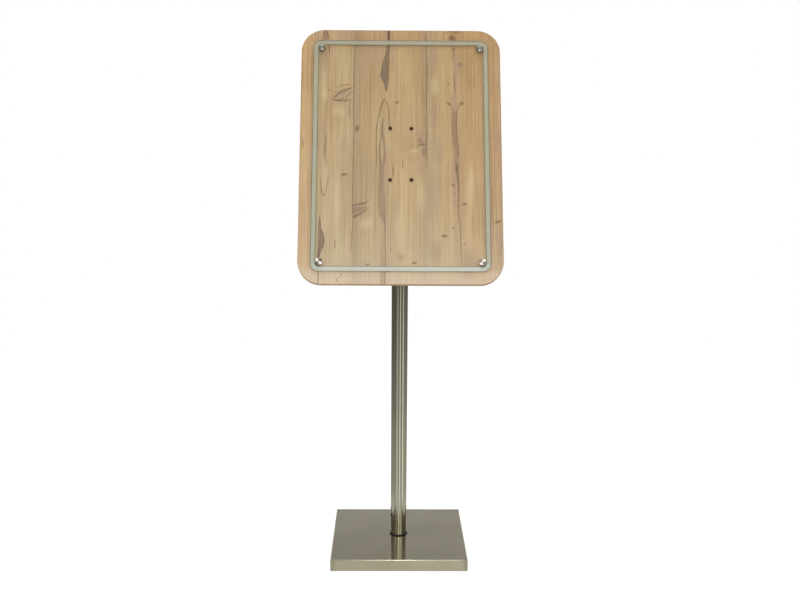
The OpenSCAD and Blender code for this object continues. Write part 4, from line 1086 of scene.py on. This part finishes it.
def socketScrew(name, size, dome=True):
    # Screw standing on its head's under face at zero, with its hexagon socket upwards
    shank, length, head, headHeight, socket = (size[key] for key in ("shank", "length", "head", "headHeight", "socket"))
    threadEnd, pitch, depth = size["thread"]
    form = screwForm
    rings = [[(0, 0, -length)], roundRing(shank - form["tip"], -length), roundRing(shank, form["tip"] - length)]
    rings += [roundRing(r, z) for r, z in threadProfile(
        shank, form["tip"] + form["threadGap"] - length, threadEnd, pitch, depth)]
    rings += [roundRing(shank, 0), roundRing(head - form["headEdge"], 0), roundRing(head, form["headEdge"])]
    if dome:
        for angle in map(math.radians, form["domeDegrees"]):
            rise = (headHeight - form["domeFoot"]) * math.sin(angle)
            rings.append(roundRing(head * math.cos(angle), form["domeFoot"] + rise))
    else:
        chamfer = form["headChamfer"]
        rings += [roundRing(head, headHeight - chamfer), roundRing(head - chamfer, headHeight)]
    crown = headHeight - form["crownSink"] if dome else headHeight
    floor = headHeight * form["socketFloor"]
    rings += [
        roundRing(socket * form["socketMouth"], crown), hexRing(socket, crown - form["socketEase"]),
        hexRing(socket, floor), [(0, 0, floor - form["drillPoint"])],
    ]
    return loftMesh(name, rings, None, closed=False)


def hexNut(name, flats, height, bore):
    # Hexagon nut standing on zero, with its corners chamfered above and below; without a bore it is a bolt's head
    def band(z, share):
        return ringOf(lambda angle: min(hexReach(angle, flats), flats / 2 * share), z)

    rings = [band(z, share) for z, share in nutForm["chamfer"]]
    rings += [band(height - z, share) for z, share in reversed(nutForm["chamfer"])]
    if not bore:
        return loftMesh(name, [[(0, 0, 0)], *rings, [(0, 0, height)]], None, closed=False)
    ease = nutForm["boreEase"]
    rings += [
        roundRing(bore + ease, height), roundRing(bore, height - ease), roundRing(bore, ease),
        roundRing(bore + ease, 0)]
    return loftMesh(name, rings, None)


bracketBolts = {
    "across": 63.0, "up": 160.0, "shank": 3.0, "length": 30.5, "head": 6.25, "headHeight": 2.2, "socket": 3.4,
    "thread": (-14.0, 1.0, 0.35),  # where the thread ends, its pitch and its depth
    "face": 62.0, "nutBack": 33.0, "nutFlats": 10.0, "nutHeight": 6.0, "nutBore": 3.05,
}
boltSpread = {"Spacing Across": bracketBolts["across"], "Spacing Up": bracketBolts["up"]}
boltPlace = onBoard @ Matrix.Translation((0, 0, bracketBolts["face"]))
addRepeated(
    "bracketBolts", socketScrew("boltOne", bracketBolts), boltPlace, boltSpread,
    brownOxide, "head", "brown_bolts", "bracket_bolts")
nutOne = hexNut("nutOne", bracketBolts["nutFlats"], bracketBolts["nutHeight"], bracketBolts["nutBore"])
nutPlace = onBoard @ Matrix.Translation((0, 0, bracketBolts["nutBack"]))
addRepeated(
    "bracketNuts", nutOne, nutPlace, {**boltSpread, "Seed": 8}, zincSteel, "head", "plain_steel", "bracket_nuts")

flangeScrews = {
    "circle": 42.0, "shank": 4.0, "length": 17.0, "head": 6.5, "headHeight": 8.0, "socket": 6.0, "face": 22.0,
    "thread": (-8.0, 1.25, 0.4),
}
flangePlace = onFloor @ Matrix.Translation((0, 0, flangeScrews["face"]))
addRepeated(
    "flangeScrews", socketScrew("flangeOne", flangeScrews, dome=False), flangePlace,
    {"Circle Radius": flangeScrews["circle"], "Circle Count": 4, "On A Circle": True},
    zincSteel, "stand", "plain_steel", "flange_screws")

coverScrews = {
    "shank": 3.0, "head": 5.5, "sink": 2.5, "top": 26.0, "foot": 2.0, "socket": 3.5, "socketDepth": 2.4,
    "drillPoint": 0.4, "socketEase": 0.2, "socketMouth": 0.64, "headEdge": 0.15, "tip": 0.6,
    "thread": (8.0, 1.0, 0.35),
}


def sunkScrew():
    # Countersunk screw standing on its head, with its socket downwards
    foot, shank, head, socket, top = (coverScrews[key] for key in ("foot", "shank", "head", "socket", "top"))
    edge, tip, (threadStart, pitch, depth) = (coverScrews[key] for key in ("headEdge", "tip", "thread"))
    socketTop = foot + coverScrews["socketDepth"]
    return loftMesh("sunkOne", [
        [(0, 0, socketTop + coverScrews["drillPoint"])], hexRing(socket, socketTop),
        hexRing(socket, foot + coverScrews["socketEase"]), roundRing(socket * coverScrews["socketMouth"], foot),
        roundRing(head - edge, foot), roundRing(head, foot + edge), roundRing(shank, foot + coverScrews["sink"] + edge),
        *[roundRing(r, z) for r, z in threadProfile(shank, threadStart, top - tip, pitch, depth)],
        roundRing(shank - tip, top), [(0, 0, top)],
    ], None, closed=False)


addRepeated(
    "coverScrews", sunkScrew(), onFloor, {**postSpread, "Seed": 5}, zincSteel, "stand", "plain_steel", "cover_screws")
print("stage: base and fasteners")


# Pole

pole = {
    "radius": 25.4, "bore": 23.9, "edge": 0.12, "edgeMiddle": 0.3, "sides": 96,
    "lowerPole": (40.6, 608.6), "upperPole": (609.4, 1172.0),  # where each tube starts and ends above the floor
}


def tubeMesh(name, low, high):
    # A tube whose outer edges are broken in two steps
    r, b, e = pole["radius"], pole["bore"], pole["edge"]
    half = e * pole["edgeMiddle"]
    return turnedMesh(name, [
        (b, low), (r - e, low), (r - half, low + half), (r, low + e), (r, high - e), (r - half, high - half),
        (r - e, high), (b, high),
    ], onFloor, pole["sides"])


for pieceName, node in (("lowerPole", "lower_pole"), ("upperPole", "upper_pole")):
    addPiece(pieceName, tubeMesh(pieceName, *pole[pieceName]), poleSteel, "stand", "stainless", node)

footRing = {
    "inner": 24.25, "outer": 28.0, "low": 37.0, "high": 40.6, "footEase": 0.3, "round": 1.3, "roundSteps": 6}


def ringProfile():
    # A rubber ring with a rounded shoulder
    inner, outer, low, high = (footRing[key] for key in ("inner", "outer", "low", "high"))
    shoulder = [
        (outer - footRing["round"] * (1 - math.cos(a)), high - footRing["round"] * (1 - math.sin(a)))
        for a in quarterTurn(footRing["roundSteps"])]
    ease = footRing["footEase"]
    return [(inner, low), (outer - ease, low), (outer, low + ease), *shoulder, (inner, high)]


addPiece(
    "footRing", turnedMesh("footRing", ringProfile(), onFloor, pole["sides"]),
    blackRubber, "stand", "black_rubber", "foot_ring")

poleScrews = {
    "shank": 2.5, "length": 9.0, "head": 4.0, "headHeight": 2.2, "socket": 2.7, "thread": (-3.0, 0.8, 0.3),
    # Each piece's screws: height above the floor, and direction in degrees from +X
    "spots": {
        "joinerScrews": ("joiner_screws", ((579.0, 90), (639.0, 90))),
        "lockingScrew": ("locking_screw", ((101.0, 200),)),
        "headScrew": ("head_screw", ((1147.0, 90),)),
    },
}
for pieceName, (node, spots) in poleScrews["spots"].items():
    drawn = []
    for height, turn in spots:
        one = socketScrew(pieceName, poleScrews)
        one.transform(
            onFloor @ Matrix.Rotation(math.radians(turn), 4, "Z")
            @ Matrix.Translation((pole["radius"], 0, height)) @ Matrix.Rotation(math.radians(90), 4, "Y"))
        drawn.append(one)
    addPiece(pieceName, joinMeshes(*drawn), blackOxide, "stand", "black_screws", node)

addPiece("poleHead", softenedCopy("pole_head"), zincSteel, "stand", "plain_steel", "pole_head")
dressNode("pole_joiner", zincSteel)
dressNode("friction_washers", washerFibre)
print("stage: pole")


# Tilting bracket and its clamp

weld = {
    "radius": 2.6, "ripple": 1.6, "swell": 0.09, "earInner": 11.55, "earOuter": 17.55, "reach": 27.0,
    "plateBack": 39.0,
}


def buildWeldTree():
    # A weld bead along a straight joint: a tube that swells at each ripple
    tree, identifiers, given = newGeometryTree(
        "weldBead", Start="Vector", End="Vector", Bead_Radius="Float", Ripple_Spacing="Float", Finish="Material")
    path = addNode(tree, "GeometryNodeCurvePrimitiveLine", {"Start": given["Start"], "End": given["End"]})
    step = addNode(tree, "ShaderNodeMath", {0: given["Ripple Spacing"], 1: 6.0}, operation="DIVIDE")
    path = addNode(tree, "GeometryNodeResampleCurve", {"Curve": path, "Length": step}, mode="LENGTH")
    along = addNode(tree, "GeometryNodeSplineParameter").node.outputs["Length"]
    turns = addNode(tree, "ShaderNodeMath", {0: along, 1: given["Ripple Spacing"]}, operation="DIVIDE")
    angle = addNode(tree, "ShaderNodeMath", {0: turns, 1: 2 * math.pi}, operation="MULTIPLY")
    wave = addNode(tree, "ShaderNodeMath", {0: angle}, operation="SINE")
    share = addNode(tree, "ShaderNodeMath", {
        0: wave, 1: weld["swell"], 2: 1 - weld["swell"]}, operation="MULTIPLY_ADD")
    swell = addNode(tree, "ShaderNodeMath", {0: share, 1: given["Bead Radius"]}, operation="MULTIPLY")
    path = addNode(tree, "GeometryNodeSetCurveRadius", {"Curve": path, "Radius": swell})
    section = addNode(tree, "GeometryNodeCurvePrimitiveCircle", {"Resolution": 12, "Radius": 1.0})
    bead = addNode(tree, "GeometryNodeCurveToMesh", {"Curve": path, "Profile Curve": section, "Fill Caps": True})
    closeGeometryTree(tree, bead, given["Finish"])
    return tree, identifiers


weldTree = buildWeldTree()
beads = []
for across in (-weld["earOuter"], -weld["earInner"], weld["earInner"], weld["earOuter"]):
    bead = runGeometryTree("weldOne", weldTree, {
        "Start": (across, -weld["reach"], weld["plateBack"]), "End": (across, weld["reach"], weld["plateBack"]),
        "Bead Radius": weld["radius"], "Ripple Spacing": weld["ripple"], "Finish": bracketPaint})
    bead.transform(onBoard)
    beads.append(bead)
addPiece("tiltBracket", softenedCopy("tilt_bracket"), bracketPaint, "head", "bracket_paint", "tilt_bracket")
addPiece("bracketWelds", joinMeshes(*beads), bracketPaint, "head", "bracket_paint", sharp=40)

alongPivot = onBoard @ Matrix.Rotation(math.radians(90), 4, "Y")  # what is drawn along Z lies along the tilt axis
pivot = {
    "radius": 5.0, "start": -17.55, "end": 39.05, "headFlats": 17.0, "headHeight": 6.4, "plainEnd": 12.0, "tip": 1.0,
    "thread": (12.5, 1.5, 0.5),
}
threadStart, pitch, depth = pivot["thread"]
pivotShank = turnedMesh("pivotShank", [
    (0, pivot["start"]), (pivot["radius"], pivot["start"]), (pivot["radius"], pivot["plainEnd"]),
    *threadProfile(pivot["radius"], threadStart, pivot["end"] - pivot["tip"], pitch, depth),
    (pivot["radius"] - pivot["tip"], pivot["end"]), (0, pivot["end"]),
], alongPivot, fullTurn)
pivotHead = hexNut("pivotHead", pivot["headFlats"], pivot["headHeight"], 0)
pivotHead.transform(alongPivot @ Matrix.Translation((0, 0, pivot["start"] - pivot["headHeight"])))
addPiece("pivotBolt", joinMeshes(pivotShank, pivotHead), zincSteel, "head", "plain_steel", "pivot_bolt")

knobWasher = {"radius": 12.0, "bore": 5.4, "low": 17.55, "high": 19.55, "edge": 0.3}
addPiece(
    "knobWasher", turnedMesh("knobWasher", washerProfile(knobWasher), alongPivot),
    zincSteel, "clamp_washer", "plain_steel", "knob_washer")

knob = {
    "start": 19.55, "boss": 13.0, "bossEase": 0.6, "bossLength": 10.0, "rootDrop": 0.4, "thick": 18.0, "radius": 26.0,
    "lobes": 5, "scallop": 9.0, "scallopAway": 29.0, "blend": 3.0, "round": 4.0, "roundSteps": 5, "sides": 180,
    "insert": 8.0, "insertEnd": 39.55, "crown": 1.2,
    # The crown's rings: radius, and depth under its highest point
    "crownRings": ((11.0, 0.25), (6.0, 0.05)), "crownStart": (4.0, 0.55),
}


def lobeReach(angle):
    # The star's outline: a circle with round scallops, blended softly where they meet
    pitch = 2 * math.pi / knob["lobes"]
    off = (angle - math.pi + pitch / 2) % pitch - pitch / 2
    side = knob["scallopAway"] * math.sin(off)
    inside = knob["scallop"] ** 2 - side ** 2
    if inside <= 0:
        return knob["radius"]
    scoop = knob["scallopAway"] * math.cos(off) - math.sqrt(inside)
    blend = knob["blend"]
    share = max(blend - abs(scoop - knob["radius"]), 0) / blend
    return min(scoop, knob["radius"]) - share * share * blend / 4


def knobRing(height, inset=0.0, radius=None):
    # A ring of the knob: a circle where a radius is given, else the star's outline drawn in by inset
    angles = [2 * math.pi * i / knob["sides"] for i in range(knob["sides"])]
    reach = [lobeReach(a) - inset if radius is None else radius for a in angles]
    return [(r * math.cos(a), r * math.sin(a), height) for r, a in zip(reach, angles)]


def knobRings():
    # From the boss up over the lobes to the crown, then down the hole for the insert
    start, boss, ease, insert, bend = (knob[key] for key in ("start", "boss", "bossEase", "insert", "round"))
    low = start + knob["bossLength"]
    high = low + knob["thick"]
    shoulder = high - knob["crown"]
    arc = quarterTurn(knob["roundSteps"])
    crownInset, crownDepth = knob["crownStart"]
    return [
        knobRing(start, radius=insert), knobRing(start, radius=boss - ease), knobRing(start + ease, radius=boss),
        knobRing(low - knob["rootDrop"], radius=boss), knobRing(low, radius=boss + ease),
        *[knobRing(low + bend * (1 - math.cos(a)), bend * (1 - math.sin(a))) for a in arc],
        *[knobRing(shoulder - bend * (1 - math.cos(a)), bend * (1 - math.sin(a))) for a in reversed(arc)],
        knobRing(high - knob["crown"] * crownDepth, bend + crownInset),
        *[knobRing(high - depth, radius=radius) for radius, depth in knob["crownRings"]],
        [(0, 0, high)], [(0, 0, knob["insertEnd"])], knobRing(knob["insertEnd"], radius=insert),
    ]


addPiece(
    "tiltKnob", loftMesh("tiltKnob", knobRings(), alongPivot), knobPlastic, "clamp_knob", "knob_plastic", "tilt_knob",
    sharp=40)
dressNode("knob_insert", brassMetal)
print("stage: bracket and clamp")


# Board

board = {
    "width": 600.0, "height": 790.0, "corner": 70.0, "back": 44.0, "front": 62.0, "laminate": 0.8, "band": 1.0,
    "arris": 0.5, "arrisSteps": 4, "cornerSteps": 24, "sheetEdge": 0.1, "boltHole": 3.4, "insertHole": 4.55,
}
sheetSharp = 9  # degrees: the eased edges of thin sheets are shaded apart from their faces


def boardOutline(inset):
    return roundedOutline(
        board["width"] - 2 * inset, board["height"] - 2 * inset, board["corner"] - inset, board["cornerSteps"])


def boardRing(inset, height):
    return [(x, y, height) for x, y in boardOutline(inset)]


def bandRings():
    # The edge band from its back edge round the outside to its front edge, with both arrises rounded
    back, front, arris = (board[key] for key in ("back", "front", "arris"))
    arc = quarterTurn(board["arrisSteps"])
    return [
        boardRing(board["band"], back),
        *[boardRing(arris * (1 - math.sin(a)), back + arris * (1 - math.cos(a))) for a in arc],
        *[boardRing(arris * (1 - math.sin(a)), front - arris * (1 - math.cos(a))) for a in reversed(arc)],
        boardRing(board["band"], front),
    ]


addPiece("edgeBand", loftMesh("edgeBand", bandRings(), onBoard), edgeWood, "head", "wood_decor", "edge_band")

boltHoles = cornerHoles(board["boltHole"], (bracketBolts["across"], bracketBolts["up"]))
insertHoles = cornerHoles(board["insertHole"], caps["spacing"])
for pieceName, low, holes, wood, node in (
    ("frontLaminate", board["front"] - board["laminate"], [*boltHoles, *insertHoles], frontWood, "front_laminate"),
    ("backLaminate", board["back"], boltHoles, backWood, "back_laminate"),
):
    sheet = sheetMesh(
        pieceName, [boardOutline(board["band"]), *holes], low, low + board["laminate"], board["sheetEdge"], onBoard)
    addPiece(pieceName, sheet, wood, "head", "wood_decor", node, sharp=sheetSharp)
dressNode("board_core", boardFibre)
dressNode("stud_inserts", brassMetal)
print("stage: board")


# Clear cover, its frosted border and its fixings

coverOutline = roundedOutline(cover["width"], cover["height"], cover["corner"], cover["cornerSteps"])
panel = sheetMesh(
    "coverPanel", [coverOutline, *cornerHoles(cover["hole"], caps["spacing"])], cover["back"], cover["front"],
    cover["edge"], onBoard, cover["edgeSteps"])
addPiece("coverPanel", panel, acrylic, "cover", "clear_acrylic", "cover_panel", sharp=sheetSharp)
# The film keeps a hair's breadth off the panel, so that the two faces don't fall on each other
windowOutline = roundedOutline(
    cover["width"] - 2 * cover["border"], cover["height"] - 2 * cover["border"], cover["borderInner"],
    cover["innerSteps"])
border = sheetMesh(
    "borderFilm", [coverOutline, windowOutline], cover["back"] - cover["filmThick"], cover["back"] - cover["airGap"],
    cover["filmEdge"], onBoard)
addPiece("borderFilm", border, film, "cover", "frosted_film", "border_strip", sharp=sheetSharp)

studs = {"radius": 3.0, "foot": 50.0, "tip": 77.35, "ease": 0.5, "pitch": 1.0, "depth": 0.35, "sides": 32}
studOne = turnedMesh("studOne", [
    (0, studs["foot"]), (studs["radius"] - studs["ease"], studs["foot"]),
    *threadProfile(
        studs["radius"], studs["foot"] + studs["ease"], studs["tip"] - studs["ease"], studs["pitch"], studs["depth"]),
    (studs["radius"] - studs["ease"], studs["tip"]), (0, studs["tip"]),
], None, studs["sides"])
barrel = {"radius": 6.0, "bore": 3.4, "edge": 0.4}
barrelTop = cover["back"] - cover["airGap"]
barrelOne = turnedMesh("barrelOne", [
    (barrel["bore"], board["front"]), (barrel["radius"] - barrel["edge"], board["front"]),
    (barrel["radius"], board["front"] + barrel["edge"]), (barrel["radius"], cover["back"] - barrel["edge"]),
    (barrel["radius"] - barrel["edge"], barrelTop), (barrel["bore"], barrelTop),
], None, fullTurn)
capSpread = {"Spacing Across": caps["spacing"][0], "Spacing Up": caps["spacing"][1]}
addRepeated("coverStuds", studOne, onBoard, capSpread, zincSteel, "head", "plain_steel", "cover_studs")
addRepeated("standoffBarrels", barrelOne, onBoard, capSpread, drawnAluminium, "head", "aluminium", "standoffs")

capLook = {"chamfer": 0.8, "rim": 0.9, "dish": 0.08, "dishSteps": 5, "backEase": 0.3, "boreEase": 0.4, "sides": 72}


def capProfile():
    # A turned cap: chamfered rim, slightly dished face, and a blind bore for the stud in its back
    radius, low, high, bore = (caps[key] for key in ("radius", "back", "front", "bore"))
    chamfer, backEase, boreEase = (capLook[key] for key in ("chamfer", "backEase", "boreEase"))
    dishRadius = radius - chamfer - capLook["rim"]
    boreTop = low + caps["boreDepth"]
    shares = [1 - step / capLook["dishSteps"] for step in range(1, capLook["dishSteps"] + 1)]
    return [
        (bore + boreEase, low), (radius - backEase, low), (radius, low + backEase), (radius, high - chamfer),
        (radius - chamfer, high), (dishRadius, high),
        *[(dishRadius * share, high - capLook["dish"] * (1 - share * share)) for share in shares],
        (0, boreTop), (bore, boreTop), (bore, low + boreEase),
    ]


softWasher = {"radius": 7.5, "bore": 3.4, "low": 72.0, "high": 72.8, "edge": 0.25}
for corner, (across, up) in cornerSpots(caps["spacing"]).items():
    spot = onBoard @ Matrix.Translation((across, up, 0))
    ending = corner.title().replace("_", "")
    addPiece(
        "cap" + ending, turnedMesh("cap", capProfile(), spot, capLook["sides"]),
        capSteel, "cap_" + corner, "turned_steel", "cap_" + corner)
    addPiece(
        "softWasher" + ending, turnedMesh("softWasher", washerProfile(softWasher), spot, fullTurn),
        softPlastic, "washer_" + corner, "soft_plastic", "washer_" + corner)
print("stage: cover and fixings")
